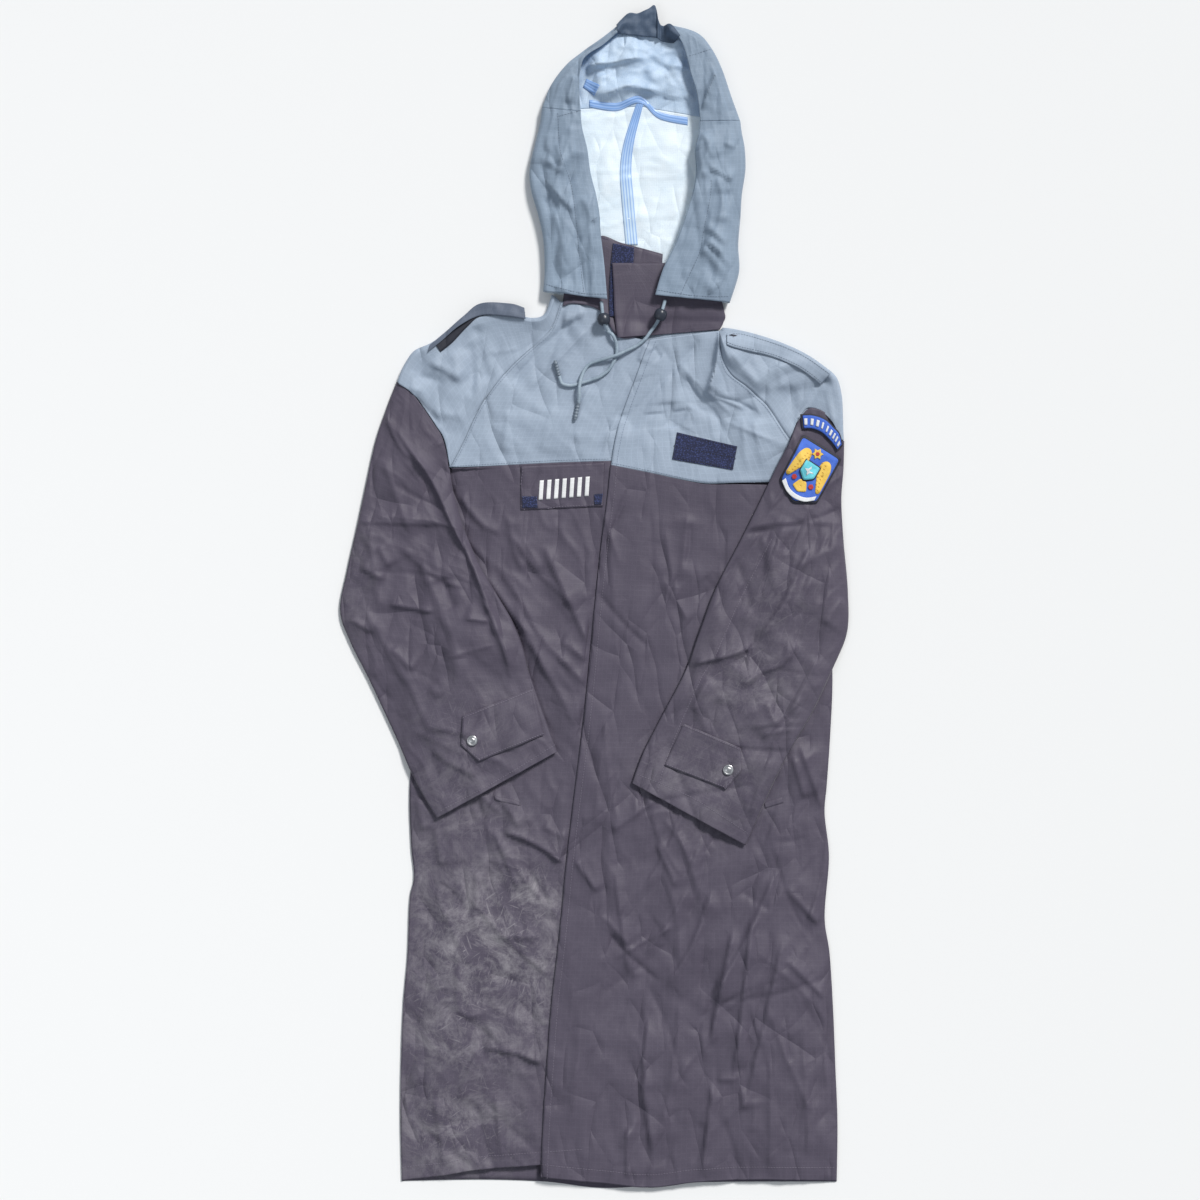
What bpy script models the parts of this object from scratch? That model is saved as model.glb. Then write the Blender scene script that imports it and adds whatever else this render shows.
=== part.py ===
"""Hooded police raincoat, laid flat on its back with its sleeves folded down over the fronts.

Metres, +Z up. +Y runs from the hem to the hood and the origin is under the middle of the coat.
Left and right are those of someone who looks down on the coat.
"""

import math
from collections import namedtuple

import bmesh
import bpy
import numpy as np
from mathutils import Matrix, Vector
from mathutils.bvhtree import BVHTree

# Driving dimensions
WALL = 0.0015          # cloth, modelled thicker than the real 0.4 mm
TRIM_WALL = 0.0012     # patches, tabs and badges
SEAM_GAP = 0.0005      # between pieces that are sewn edge to edge
CLEARANCE = 0.0010     # between a piece and the piece that it lies on
FLOOR_LEVEL = WALL / 2  # middle of a wall that rests on the surface
SIDE_LEVEL = 0.0027    # middle of a front's wall at the side seam, just above the back
FRONT_LIFT = 0.0062    # how far the fronts stand off the back between the side seams
SIDE_FALL = 0.070      # width over which a front comes down to the side seam
UNDERLAP = 0.050       # how far the left front runs on under the right one
OVERLAP_STEP = 0.0027  # how far the right front stands above the left one there
SLEEVE_HEIGHT = 0.0085  # between the two walls of a flattened sleeve
HOOD_FOLD_RADIUS = 0.0082
HOOD_EDGE_HEIGHT = 0.021
CORD_RADIUS = 0.0024

# The body from yoke seam to hem: both side seams and the free edge of the right front
BodyRow = namedtuple("BodyRow", "left_x left_y fly_x fly_y right_x right_y")
BODY = [
    BodyRow(-0.203, 0.179, 0.022, 0.185, 0.308, 0.158),
    BodyRow(-0.210, 0.136, 0.017, 0.136, 0.312, 0.115),
    BodyRow(-0.219, 0.066, 0.008, 0.066, 0.318, 0.052),
    BodyRow(-0.231, -0.025, -0.002, -0.030, 0.329, -0.032),
    BodyRow(-0.244, -0.116, -0.010, -0.116, 0.333, -0.110),
    BodyRow(-0.254, -0.190, -0.018, -0.190, 0.330, -0.190),
    BodyRow(-0.260, -0.270, -0.028, -0.270, 0.325, -0.262),
    BodyRow(-0.258, -0.345, -0.037, -0.345, 0.322, -0.303),
    BodyRow(-0.254, -0.392, -0.042, -0.392, 0.328, -0.365),
    BodyRow(-0.260, -0.425, -0.046, -0.435, 0.322, -0.447),
    BodyRow(-0.263, -0.501, -0.053, -0.501, 0.329, -0.500),
    BodyRow(-0.269, -0.571, -0.061, -0.571, 0.334, -0.580),
    BodyRow(-0.272, -0.650, -0.067, -0.650, 0.337, -0.655),
    BodyRow(-0.273, -0.725, -0.072, -0.725, 0.340, -0.730),
    BodyRow(-0.271, -0.812, -0.076, -0.812, 0.339, -0.812),
]

# Lines across the body, as x and y
Station = namedtuple("Station", "x y")
YOKE_SEAM_BACK = [Station(-0.203, 0.181), Station(0.308, 0.160)]
YOKE_SEAM_LEFT = [Station(-0.203, 0.180), Station(-0.063, 0.188), Station(0.075, 0.192)]
YOKE_SEAM_RIGHT = [
    Station(0.022, 0.185), Station(0.077, 0.174), Station(0.133, 0.162),
    Station(0.161, 0.158), Station(0.210, 0.158), Station(0.308, 0.156),
]
HEM_BACK = [
    Station(-0.270, -0.819), Station(-0.161, -0.817), Station(-0.070, -0.820),
    Station(0.018, -0.829), Station(0.147, -0.821), Station(0.339, -0.820),
]
HEM_LEFT = [
    Station(-0.270, -0.818), Station(-0.217, -0.811), Station(-0.161, -0.802), Station(-0.020, -0.791),
]
HEM_RIGHT = [
    Station(-0.076, -0.812), Station(0.020, -0.822), Station(0.080, -0.827),
    Station(0.147, -0.819), Station(0.241, -0.816), Station(0.339, -0.819),
]
NECK_LEFT = [
    Station(-0.048, 0.400), Station(-0.028, 0.409), Station(0.007, 0.398),
    Station(0.031, 0.362), Station(0.125, 0.352),
]
NECK_BACK = [
    Station(-0.050, 0.412), Station(-0.020, 0.4175), Station(0.000, 0.4142), Station(0.060, 0.4040),
    Station(0.120, 0.4072), Station(0.160, 0.4040), Station(0.176, 0.3900),
]

# The long folds that stand on the fronts: both ends, half width and height
Fold = namedtuple("Fold", "start_x start_y end_x end_y width height")
FRONT_FOLDS = [
    Fold(-0.020, -0.100, -0.130, 0.060, 0.022, 0.0030),
    Fold(-0.030, -0.370, -0.150, -0.310, 0.018, 0.0030),
    Fold(-0.090, -0.650, -0.170, -0.640, 0.020, 0.0028),
    Fold(0.150, -0.400, 0.060, -0.640, 0.026, 0.0045),
    Fold(0.230, -0.420, 0.150, -0.620, 0.022, 0.0040),
    Fold(0.250, -0.560, 0.205, -0.720, 0.020, 0.0035),
    Fold(0.165, -0.690, 0.155, -0.815, 0.018, 0.0030),
    Fold(0.045, -0.370, 0.055, -0.560, 0.020, 0.0030),
    Fold(0.240, -0.220, 0.310, -0.300, 0.020, 0.0030),
    Fold(0.095, 0.350, 0.050, 0.240, 0.022, 0.0030),
    Fold(-0.030, 0.370, -0.115, 0.300, 0.018, 0.0030),
]
SLEEVE_FOLDS = [
    Fold(-0.272, 0.240, -0.185, 0.060, 0.016, 0.0050),
    Fold(-0.165, 0.020, -0.122, -0.130, 0.016, 0.0040),
    Fold(-0.230, -0.205, -0.165, -0.250, 0.014, 0.0030),
    Fold(0.305, 0.085, 0.225, -0.070, 0.018, 0.0050),
    Fold(0.225, -0.070, 0.140, -0.100, 0.014, 0.0040),
    Fold(0.285, -0.060, 0.205, -0.130, 0.014, 0.0030),
]

# Raglan caps and yokes: a row from the raglan seam to the shoulder fold
CapRow = namedtuple("CapRow", "seam_x seam_y fold_x fold_y")
CAP_LEFT = [
    CapRow(-0.203, 0.182, -0.277, 0.303),
    CapRow(-0.190, 0.206, -0.268, 0.325),
    CapRow(-0.178, 0.231, -0.250, 0.349),
    CapRow(-0.166, 0.257, -0.222, 0.360),
    CapRow(-0.147, 0.288, -0.196, 0.381),
    CapRow(-0.122, 0.318, -0.164, 0.397),
    CapRow(-0.105, 0.335, -0.125, 0.398),
    CapRow(-0.085, 0.353, -0.092, 0.392),
    CapRow(-0.062, 0.375, -0.072, 0.396),
    CapRow(-0.048, 0.396, -0.061, 0.417),
]
CAP_RIGHT = [
    CapRow(0.273, 0.220, 0.349, 0.220),
    CapRow(0.264, 0.233, 0.348, 0.245),
    CapRow(0.254, 0.249, 0.347, 0.270),
    CapRow(0.242, 0.267, 0.342, 0.303),
    CapRow(0.226, 0.282, 0.320, 0.325),
    CapRow(0.205, 0.300, 0.287, 0.346),
    CapRow(0.185, 0.317, 0.245, 0.363),
    CapRow(0.176, 0.345, 0.205, 0.374),
    CapRow(0.174, 0.373, 0.180, 0.378),
]
CAP_ROWS = 11
ARMHOLE_CORNER = Station(0.300, 0.1615)  # end of the right yoke seam, under the sleeve
# The free edge of each yoke, from the yoke seam to the neck
YOKE_LEFT_EDGE = [
    Station(0.072, 0.192), Station(0.077, 0.213), Station(0.082, 0.234), Station(0.088, 0.255),
    Station(0.097, 0.279), Station(0.107, 0.303), Station(0.112, 0.318), Station(0.118, 0.332),
    Station(0.122, 0.343), Station(0.125, 0.352),
]
YOKE_RIGHT_EDGE = [
    Station(0.0225, 0.187), Station(0.025, 0.203), Station(0.028, 0.219), Station(0.033, 0.241),
    Station(0.040, 0.262), Station(0.048, 0.284), Station(0.057, 0.307), Station(0.067, 0.335),
    Station(0.077, 0.360),
]

# Flattened sleeves from cap to cuff
SleeveRow = namedtuple("SleeveRow", "outer_x outer_y inner_x inner_y")
SLEEVE_LEFT = [
    SleeveRow(-0.2775, 0.302, -0.204, 0.181),
    SleeveRow(-0.290, 0.270, -0.199, 0.150),
    SleeveRow(-0.307, 0.220, -0.192, 0.125),
    SleeveRow(-0.321, 0.157, -0.180, 0.087),
    SleeveRow(-0.333, 0.101, -0.161, 0.045),
    SleeveRow(-0.347, 0.038, -0.137, 0.003),
    SleeveRow(-0.357, -0.018, -0.115, -0.035),
    SleeveRow(-0.343, -0.062, -0.101, -0.071),
    SleeveRow(-0.315, -0.118, -0.090, -0.113),
    SleeveRow(-0.280, -0.193, -0.073, -0.161),
    SleeveRow(-0.252, -0.256, -0.063, -0.190),
    SleeveRow(-0.221, -0.309, -0.053, -0.216),
]
SLEEVE_RIGHT = [
    SleeveRow(0.349, 0.219, 0.273, 0.219),
    SleeveRow(0.348, 0.180, 0.253, 0.180),
    SleeveRow(0.345, 0.136, 0.234, 0.140),
    SleeveRow(0.348, 0.080, 0.204, 0.080),
    SleeveRow(0.354, 0.010, 0.168, 0.010),
    SleeveRow(0.353, -0.049, 0.146, -0.049),
    SleeveRow(0.333, -0.099, 0.127, -0.102),
    SleeveRow(0.304, -0.161, 0.097, -0.160),
    SleeveRow(0.268, -0.222, 0.072, -0.208),
    SleeveRow(0.240, -0.280, 0.061, -0.234),
    SleeveRow(0.210, -0.347, 0.052, -0.260),
]

# The hood: edge of the face opening, fold at the side, and centre seam on the surface
HoodRow = namedtuple("HoodRow", "edge_x edge_y fold_x fold_y centre_x centre_y")
HOOD_LEFT = [
    HoodRow(0.017, 0.416, -0.073, 0.428, 0.060, 0.405),
    HoodRow(0.013, 0.465, -0.071, 0.458, 0.055, 0.450),
    HoodRow(0.008, 0.507, -0.073, 0.500, 0.053, 0.500),
    HoodRow(0.006, 0.535, -0.080, 0.535, 0.049, 0.535),
    HoodRow(0.001, 0.563, -0.090, 0.570, 0.045, 0.568),
    HoodRow(-0.006, 0.591, -0.092, 0.600, 0.043, 0.600),
    HoodRow(-0.011, 0.626, -0.085, 0.633, 0.045, 0.635),
    HoodRow(-0.018, 0.655, -0.078, 0.662, 0.052, 0.665),
    HoodRow(-0.020, 0.678, -0.075, 0.684, 0.063, 0.688),
]
HOOD_RIGHT = [
    HoodRow(0.084, 0.422, 0.189, 0.412, 0.060, 0.405),
    HoodRow(0.095, 0.458, 0.202, 0.455, 0.055, 0.450),
    HoodRow(0.112, 0.493, 0.201, 0.493, 0.053, 0.500),
    HoodRow(0.125, 0.528, 0.204, 0.531, 0.049, 0.535),
    HoodRow(0.136, 0.563, 0.206, 0.563, 0.045, 0.568),
    HoodRow(0.141, 0.591, 0.211, 0.598, 0.043, 0.600),
    HoodRow(0.140, 0.626, 0.210, 0.629, 0.045, 0.635),
    HoodRow(0.145, 0.648, 0.206, 0.650, 0.052, 0.665),
    HoodRow(0.147, 0.664, 0.204, 0.666, 0.063, 0.688),
]
CrownRow = namedtuple("CrownRow", "left_edge_x left_edge_y left_x left_y right_x right_y "
                      "right_edge_x right_edge_y centre_x centre_y rise")
CROWN = [
    CrownRow(-0.020, 0.679, -0.075, 0.685, 0.204, 0.667, 0.147, 0.665, 0.063, 0.689, 0.0),
    CrownRow(-0.022, 0.713, -0.062, 0.717, 0.191, 0.702, 0.143, 0.700, 0.064, 0.720, 0.0),
    CrownRow(-0.020, 0.738, -0.041, 0.745, 0.178, 0.740, 0.133, 0.735, 0.066, 0.748, 0.001),
    CrownRow(-0.013, 0.755, -0.017, 0.765, 0.163, 0.769, 0.126, 0.762, 0.070, 0.770, 0.003),
    CrownRow(0.012, 0.772, 0.012, 0.785, 0.144, 0.789, 0.118, 0.780, 0.073, 0.789, 0.005),
    CrownRow(0.031, 0.788, 0.034, 0.802, 0.108, 0.801, 0.104, 0.790, 0.071, 0.803, 0.007),
]

# Flat trims: a row across the piece, as its two ends
Span = namedtuple("Span", "start_x start_y end_x end_y")
BRIM = [
    Span(0.032, 0.788, 0.030, 0.800), Span(0.046, 0.786, 0.046, 0.816), Span(0.060, 0.785, 0.060, 0.817),
    Span(0.074, 0.784, 0.074, 0.823), Span(0.085, 0.783, 0.084, 0.828), Span(0.089, 0.781, 0.089, 0.806),
    Span(0.095, 0.778, 0.095, 0.800), Span(0.103, 0.776, 0.106, 0.800), Span(0.110, 0.776, 0.119, 0.784),
]
COLLAR_BACK = [Span(-0.046, 0.410, 0.172, 0.392), Span(-0.040, 0.450, 0.165, 0.448)]
COLLAR_UNDER = [
    Span(-0.045, 0.4070, -0.040, 0.440), Span(-0.028, 0.4110, -0.018, 0.462), Span(0.007, 0.4010, 0.004, 0.505),
    Span(0.031, 0.3650, 0.036, 0.497), Span(0.060, 0.3640, 0.066, 0.489), Span(0.090, 0.3720, 0.095, 0.481),
]
COLLAR_OVER = [
    Span(0.031, 0.3628, 0.175, 0.3755), Span(0.029, 0.380, 0.180, 0.385), Span(0.027, 0.400, 0.182, 0.398),
    Span(0.026, 0.430, 0.166, 0.430), Span(0.024, 0.468, 0.098, 0.468),
]
COLLAR_HOOK = [Span(0.020, 0.393, 0.052, 0.393), Span(0.020, 0.440, 0.053, 0.440), Span(0.025, 0.496, 0.055, 0.490)]
CHEST_FLAP = [Span(-0.104, 0.183, 0.013, 0.188), Span(-0.104, 0.122, 0.011, 0.127)]
FLAP_STRIPE = [Span(-0.081, 0.163, -0.006, 0.169), Span(-0.078, 0.136, -0.003, 0.142)]
FLAP_HOOK_LEFT = [Span(-0.102, 0.141, -0.0815, 0.141), Span(-0.102, 0.125, -0.080, 0.125)]
FLAP_HOOK_RIGHT = [Span(-0.001, 0.144, 0.011, 0.145), Span(-0.001, 0.129, 0.009, 0.130)]
CHEST_HOOK = [Span(0.115, 0.231, 0.199, 0.211), Span(0.1115, 0.212, 0.196, 0.1945), Span(0.108, 0.193, 0.193, 0.178)]
BADGE_SHIELD = [
    Span(0.291, 0.228, 0.291, 0.2285), Span(0.283, 0.214, 0.318, 0.218), Span(0.270, 0.188, 0.343, 0.197),
    Span(0.259, 0.165, 0.329, 0.165), Span(0.268, 0.146, 0.318, 0.141), Span(0.278, 0.132, 0.311, 0.130),
]
BADGE_ARC = [
    Span(0.287, 0.256, 0.290, 0.234), Span(0.305, 0.256, 0.303, 0.234), Span(0.322, 0.250, 0.316, 0.229),
    Span(0.335, 0.238, 0.326, 0.220), Span(0.343, 0.222, 0.334, 0.207),
]
TAB_LEFT = [Span(-0.094, -0.125, -0.070, -0.187), Span(-0.160, -0.162, -0.136, -0.222), Span(-0.186, -0.182, -0.178, -0.214)]
TAB_RIGHT = [Span(0.120, -0.176, 0.098, -0.236), Span(0.180, -0.198, 0.160, -0.258), Span(0.205, -0.213, 0.181, -0.268)]
EPAULETTE_LEFT = [
    Span(-0.097, 0.395, -0.099, 0.405), Span(-0.126, 0.398, -0.119, 0.411), Span(-0.160, 0.396, -0.160, 0.411),
    Span(-0.190, 0.379, -0.184, 0.393), Span(-0.215, 0.358, -0.208, 0.372), Span(-0.234, 0.343, -0.231, 0.353),
]
EPAULETTE_RIGHT = [
    Span(0.184, 0.352, 0.184, 0.368), Span(0.200, 0.347, 0.203, 0.371), Span(0.242, 0.338, 0.247, 0.359),
    Span(0.266, 0.329, 0.276, 0.348), Span(0.290, 0.317, 0.301, 0.335), Span(0.316, 0.298, 0.330, 0.314),
]
WELT_LEFT = [Span(-0.142, -0.2775, -0.105, -0.286), Span(-0.140, -0.284, -0.104, -0.292)]
WELT_RIGHT = [Span(0.236, -0.288, 0.262, -0.280), Span(0.238, -0.296, 0.264, -0.288)]
TAPE_CENTRE = [
    Span(0.043, 0.512, 0.058, 0.512), Span(0.038, 0.560, 0.053, 0.560), Span(0.036, 0.600, 0.050, 0.600),
    Span(0.040, 0.640, 0.053, 0.640), Span(0.054, 0.678, 0.064, 0.678),
]
TAPE_CROWN = [
    Span(-0.008, 0.6975, -0.008, 0.687), Span(0.030, 0.693, 0.030, 0.682), Span(0.063, 0.7025, 0.063, 0.6925),
    Span(0.090, 0.681, 0.090, 0.671), Span(0.130, 0.673, 0.130, 0.662),
]
SNAP_LEFT = Station(-0.171, -0.200)
SNAP_RIGHT = Station(0.186, -0.241)
SNAP_RADIUS = 0.0076
SNAP_HEIGHT = 0.0035

# The routes of the drawcords, from the hem of the hood to the tip, and how far each point is lifted
CordPoint = namedtuple("CordPoint", "x y lift")
CORD_LEFT = [
    CordPoint(0.011, 0.413, 0.0), CordPoint(0.012, 0.401, 0.0), CordPoint(0.014, 0.389, 0.001),
    CordPoint(0.019, 0.378, 0.0), CordPoint(0.025, 0.366, 0.0), CordPoint(0.030, 0.353, 0.0),
    CordPoint(0.030, 0.339, 0.0), CordPoint(0.025, 0.327, 0.0), CordPoint(0.018, 0.317, 0.0),
    CordPoint(0.006, 0.308, 0.0), CordPoint(-0.008, 0.303, 0.0), CordPoint(-0.021, 0.299, 0.0),
    CordPoint(-0.034, 0.296, 0.0), CordPoint(-0.046, 0.299, 0.0), CordPoint(-0.050, 0.309, 0.0),
]
CORD_RIGHT = [
    CordPoint(0.098, 0.415, 0.0), CordPoint(0.095, 0.405, 0.001), CordPoint(0.092, 0.394, 0.001),
    CordPoint(0.086, 0.383, 0.0), CordPoint(0.078, 0.372, 0.0), CordPoint(0.070, 0.361, 0.0),
    CordPoint(0.059, 0.352, 0.0), CordPoint(0.045, 0.345, 0.003), CordPoint(0.030, 0.338, 0.0054),
    CordPoint(0.014, 0.333, 0.0025), CordPoint(0.000, 0.329, 0.0), CordPoint(-0.009, 0.325, 0.0),
    CordPoint(-0.015, 0.317, 0.002), CordPoint(-0.019, 0.307, 0.0045), CordPoint(-0.021, 0.299, 0.0054),
    CordPoint(-0.022, 0.290, 0.0045), CordPoint(-0.022, 0.281, 0.002), CordPoint(-0.023, 0.272, 0.0),
]
CORD_TIP_LEFT = [Station(-0.0505, 0.3105), Station(-0.056, 0.331)]
CORD_TIP_RIGHT = [Station(-0.0234, 0.2703), Station(-0.028, 0.248)]
BEAD_RADIUS = 0.0085
BEAD_LENGTH = 0.012
TIP_RADIUS = 0.0031

Finish = namedtuple("Finish", "colour roughness metallic")
DARK_CLOTH = Finish((0.110, 0.094, 0.125), 0.55, 0.0)
BLUE_CLOTH = Finish((0.270, 0.345, 0.430), 0.50, 0.0)
NAVY_HOOK = Finish((0.020, 0.025, 0.085), 0.95, 0.0)
NAVY_BRIM = Finish((0.050, 0.080, 0.150), 0.60, 0.0)
PALE_TAPE = Finish((0.330, 0.500, 0.800), 0.45, 0.0)
WHITE_STRIPE = Finish((0.800, 0.800, 0.800), 0.35, 0.0)
BADGE_BLUE = Finish((0.055, 0.130, 0.420), 0.70, 0.0)
STEEL = Finish((0.560, 0.560, 0.570), 0.28, 1.0)
DARK_PLASTIC = Finish((0.035, 0.042, 0.060), 0.35, 0.0)

PARTS = "hooded_raincoat"

# What the ray casts see: the middle surface of each piece that something lies on
laid = {}


def clear_scene():
    for item in list(bpy.data.objects):
        bpy.data.objects.remove(item)


def material(finish):
    """The Principled material of one finish, made once."""
    name = "finish_" + "_".join(f"{round(255 * c)}" for c in finish.colour)
    found = bpy.data.materials.get(name)
    if found:
        return found
    made = bpy.data.materials.new(name)
    made.use_nodes = True
    shader = made.node_tree.nodes["Principled BSDF"]
    shader.inputs["Base Color"].default_value = (*finish.colour, 1.0)
    shader.inputs["Roughness"].default_value = finish.roughness
    shader.inputs["Metallic"].default_value = finish.metallic
    return made


def eased(value):
    """A smooth step from 0 to 1."""
    value = min(1.0, max(0.0, value))
    return value * value * (3 - 2 * value)


def line(stations, x):
    """The y of a line across the body at x."""
    return float(np.interp(x, [s.x for s in stations], [s.y for s in stations]))


def resampled(table, count):
    """The rows of a table, read at count even places from a smooth curve through them."""
    rows = np.array([tuple(row) for row in table])
    last = len(rows) - 1
    found = []
    for place in np.linspace(0, last, count):
        i = min(int(place), last - 1)
        t = place - i
        a, b, c, d = (rows[min(max(k, 0), last)] for k in (i - 1, i, i + 1, i + 2))
        found.append(0.5 * (2 * b + (c - a) * t + (2 * a - 5 * b + 4 * c - d) * t**2 + (3 * b - a - 3 * c + d) * t**3))
    return found


def fold_height(folds, x, y):
    """How much the folds lift the cloth at a point."""
    total = 0.0
    for fold in folds:
        start = Vector((fold.start_x, fold.start_y))
        along = Vector((fold.end_x, fold.end_y)) - start
        t = (Vector((x, y)) - start).dot(along) / along.length_squared
        nearest = start + along * min(1.0, max(0.0, t))
        away = (Vector((x, y)) - nearest).length / fold.width
        taper = eased(4 * min(t, 1 - t) + 0.4)
        total += fold.height * taper * math.exp(-away * away)
    return total


def side_distance(x, y):
    """How far a point is inside the nearer side seam."""
    left = np.interp(-y, [-r.left_y for r in BODY], [r.left_x for r in BODY])
    right = np.interp(-y, [-r.right_y for r in BODY], [r.right_x for r in BODY])
    return min(x - left, right - x)


def fly_x(y):
    """The free edge of the right front and yoke at this height."""
    rows = [(p.x, p.y) for p in reversed(YOKE_RIGHT_EDGE)] + [(r.fly_x, r.fly_y) for r in BODY]
    return float(np.interp(-y, [-row[1] for row in rows], [row[0] for row in rows]))


def front_level(x, y):
    """The middle of the left front's wall."""
    inside = side_distance(x, y) if y < 0.18 else 1.0
    return SIDE_LEVEL + FRONT_LIFT * eased(inside / SIDE_FALL) + fold_height(FRONT_FOLDS, x, y) * eased(inside / 0.03)


def over_level(x, y):
    """The middle of the right front's wall, which steps up where the left front runs under it."""
    beyond = (x - fly_x(y) - UNDERLAP - 0.004) / 0.04
    return front_level(x, y) + OVERLAP_STEP * (1 - eased(beyond))


def top_of(x, y, under, reach=0.0):
    """The highest surface near a point, or 0 where only the floor is under it."""
    steps = [(0, 0)] + [(reach * math.cos(a), reach * math.sin(a)) for a in np.linspace(0, 2 * math.pi, 9)[:-1]]
    highest = 0.0
    for dx, dy in steps:
        for name in under:
            tree, half_wall = laid[name]
            hit = tree.ray_cast(Vector((x + dx, y + dy, 0.5)), Vector((0, 0, -1)))[0]
            if hit is not None:
                highest = max(highest, hit.z + half_wall)
    return highest


def cloth(name, grid, finish, wall=WALL, closed=False):
    """A sheet through a grid of points, with a wall. A closed grid joins its last column to its first."""
    mesh = bpy.data.meshes.new(name)
    build = bmesh.new()
    rows = [[build.verts.new(point) for point in row] for row in grid]
    for first, second in zip(rows, rows[1:]):
        pairs = list(zip(first, second))
        around = zip(pairs, pairs[1:] + (pairs[:1] if closed else []))
        for (a, b), (c, d) in around:
            build.faces.new((a, b, d, c))
    bmesh.ops.remove_doubles(build, verts=build.verts, dist=1e-6)
    bmesh.ops.recalc_face_normals(build, faces=build.faces)
    build.to_mesh(mesh)
    laid[name] = (BVHTree.FromBMesh(build), wall / 2)
    build.free()
    piece = bpy.data.objects.new(name, mesh)
    bpy.data.collections[PARTS].objects.link(piece)
    mesh.materials.append(material(finish))
    mesh.shade_smooth()
    shell = piece.modifiers.new("wall", "SOLIDIFY")
    shell.thickness = wall
    shell.offset = 0.0
    return piece


def lay(name, spans, finish, under, across=5, along=None, wall=TRIM_WALL, reach=0.006, extra=0.0, stiff=False):
    """A flat piece whose points are those of what is under it, moved out. A stiff one stays plane."""
    grid = []
    for row in resampled(spans, along or len(spans)):
        start, end = Vector(row[:2]), Vector(row[2:4])
        points = [start.lerp(end, i / (across - 1)) for i in range(across)]
        grid.append([(p.x, p.y, top_of(p.x, p.y, under, reach) + CLEARANCE + wall / 2 + extra) for p in points])
    if stiff:
        highest = max(z for row in grid for _, _, z in row)
        grid = [[(x, y, highest) for x, y, _ in row] for row in grid]
    return cloth(name, grid, finish, wall)


def body_grid(edges, across, along, level, top, hem):
    """A body panel between two edges, with its first and last rows on the yoke seam and on the hem."""
    grid = []
    for step, (ax, ay, bx, by) in enumerate(resampled(edges, along)):
        v = step / (along - 1)
        row = []
        for i in range(across):
            u = i / (across - 1)
            x, y = ax + (bx - ax) * u, ay + (by - ay) * u
            y += (line(top, x) - SEAM_GAP / 2 - (edges[0][1] + (edges[0][3] - edges[0][1]) * u)) * (1 - v) ** 8
            y += (line(hem, x) - (edges[-1][1] + (edges[-1][3] - edges[-1][1]) * u)) * v**8
            row.append((x, y, level(x, y)))
        grid.append(row)
    return grid


def make_body():
    across_back = [Span(r.left_x, r.left_y, r.right_x, r.right_y) for r in BODY]
    back = body_grid(across_back, 5, 18, lambda x, y: FLOOR_LEVEL, YOKE_SEAM_BACK, HEM_BACK)
    cloth("back", back, DARK_CLOTH)
    left = [Span(r.left_x, r.left_y, r.fly_x + UNDERLAP, r.fly_y) for r in BODY]
    cloth("front_left", body_grid(left, 11, 27, front_level, YOKE_SEAM_LEFT, HEM_LEFT), DARK_CLOTH)
    right = [Span(r.fly_x, r.fly_y, r.right_x, r.right_y) for r in BODY]
    cloth("front_right", body_grid(right, 15, 27, over_level, YOKE_SEAM_RIGHT, HEM_RIGHT), DARK_CLOTH)


def yoke_grid(rows, across, level, bottom, top, seams):
    """A yoke from the yoke seam up to the neck. Its raglan seams, named in seams, keep their line."""
    grid = []
    first, last = rows[0], rows[-1]
    for step, (ax, ay, bx, by) in enumerate(rows):
        v = step / (len(rows) - 1)
        ax += SEAM_GAP * (1 if ax < bx else -1) * ("start" in seams)
        bx -= SEAM_GAP * (1 if ax < bx else -1) * ("end" in seams)
        row = []
        for i in range(across):
            u = i / (across - 1)
            x, y = ax + (bx - ax) * u, ay + (by - ay) * u
            free = (1 - (1 - u) ** 4 * ("start" in seams)) * (1 - u**4 * ("end" in seams))
            if bottom:
                straight = first.start_y + (first.end_y - first.start_y) * u
                y += (line(bottom, x) + SEAM_GAP / 2 - straight) * (1 - v) ** 6 * free
            if top:
                straight = last.start_y + (last.end_y - last.start_y) * u
                y += (line(top, x) - straight) * v**6 * free
            row.append((x, y, level(x, y)))
        grid.append(row)
    return grid


def make_yokes():
    """The front yokes and the back one share their rows with the caps, so that the raglan seams meet."""
    left_seam = [Station(*row[:2]) for row in resampled(CAP_LEFT, CAP_ROWS)]
    right_seam = [ARMHOLE_CORNER] + [Station(*row[:2]) for row in resampled(CAP_RIGHT, CAP_ROWS)]
    left_edge = [Station(*row) for row in resampled(YOKE_LEFT_EDGE, len(left_seam))]
    right_edge = [Station(*row) for row in resampled(YOKE_RIGHT_EDGE, len(right_seam))]
    left = [Span(*edge, *seam) for edge, seam in zip(left_edge, left_seam)]
    cloth("yoke_left", yoke_grid(left, 11, front_level, YOKE_SEAM_LEFT, NECK_LEFT, ["end"]), BLUE_CLOTH)
    right = [Span(*edge, *seam) for edge, seam in zip(right_edge, right_seam)]
    cloth("yoke_right", yoke_grid(right, 11, over_level, YOKE_SEAM_RIGHT, None, ["end"]), BLUE_CLOTH)
    back = [Span(*a, *b) for a, b in zip(left_seam[:1] + left_seam, right_seam)]
    flat = yoke_grid(back, 9, lambda x, y: FLOOR_LEVEL, None, NECK_BACK, ["start", "end"])
    cloth("yoke_back", flat, BLUE_CLOTH)


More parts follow.
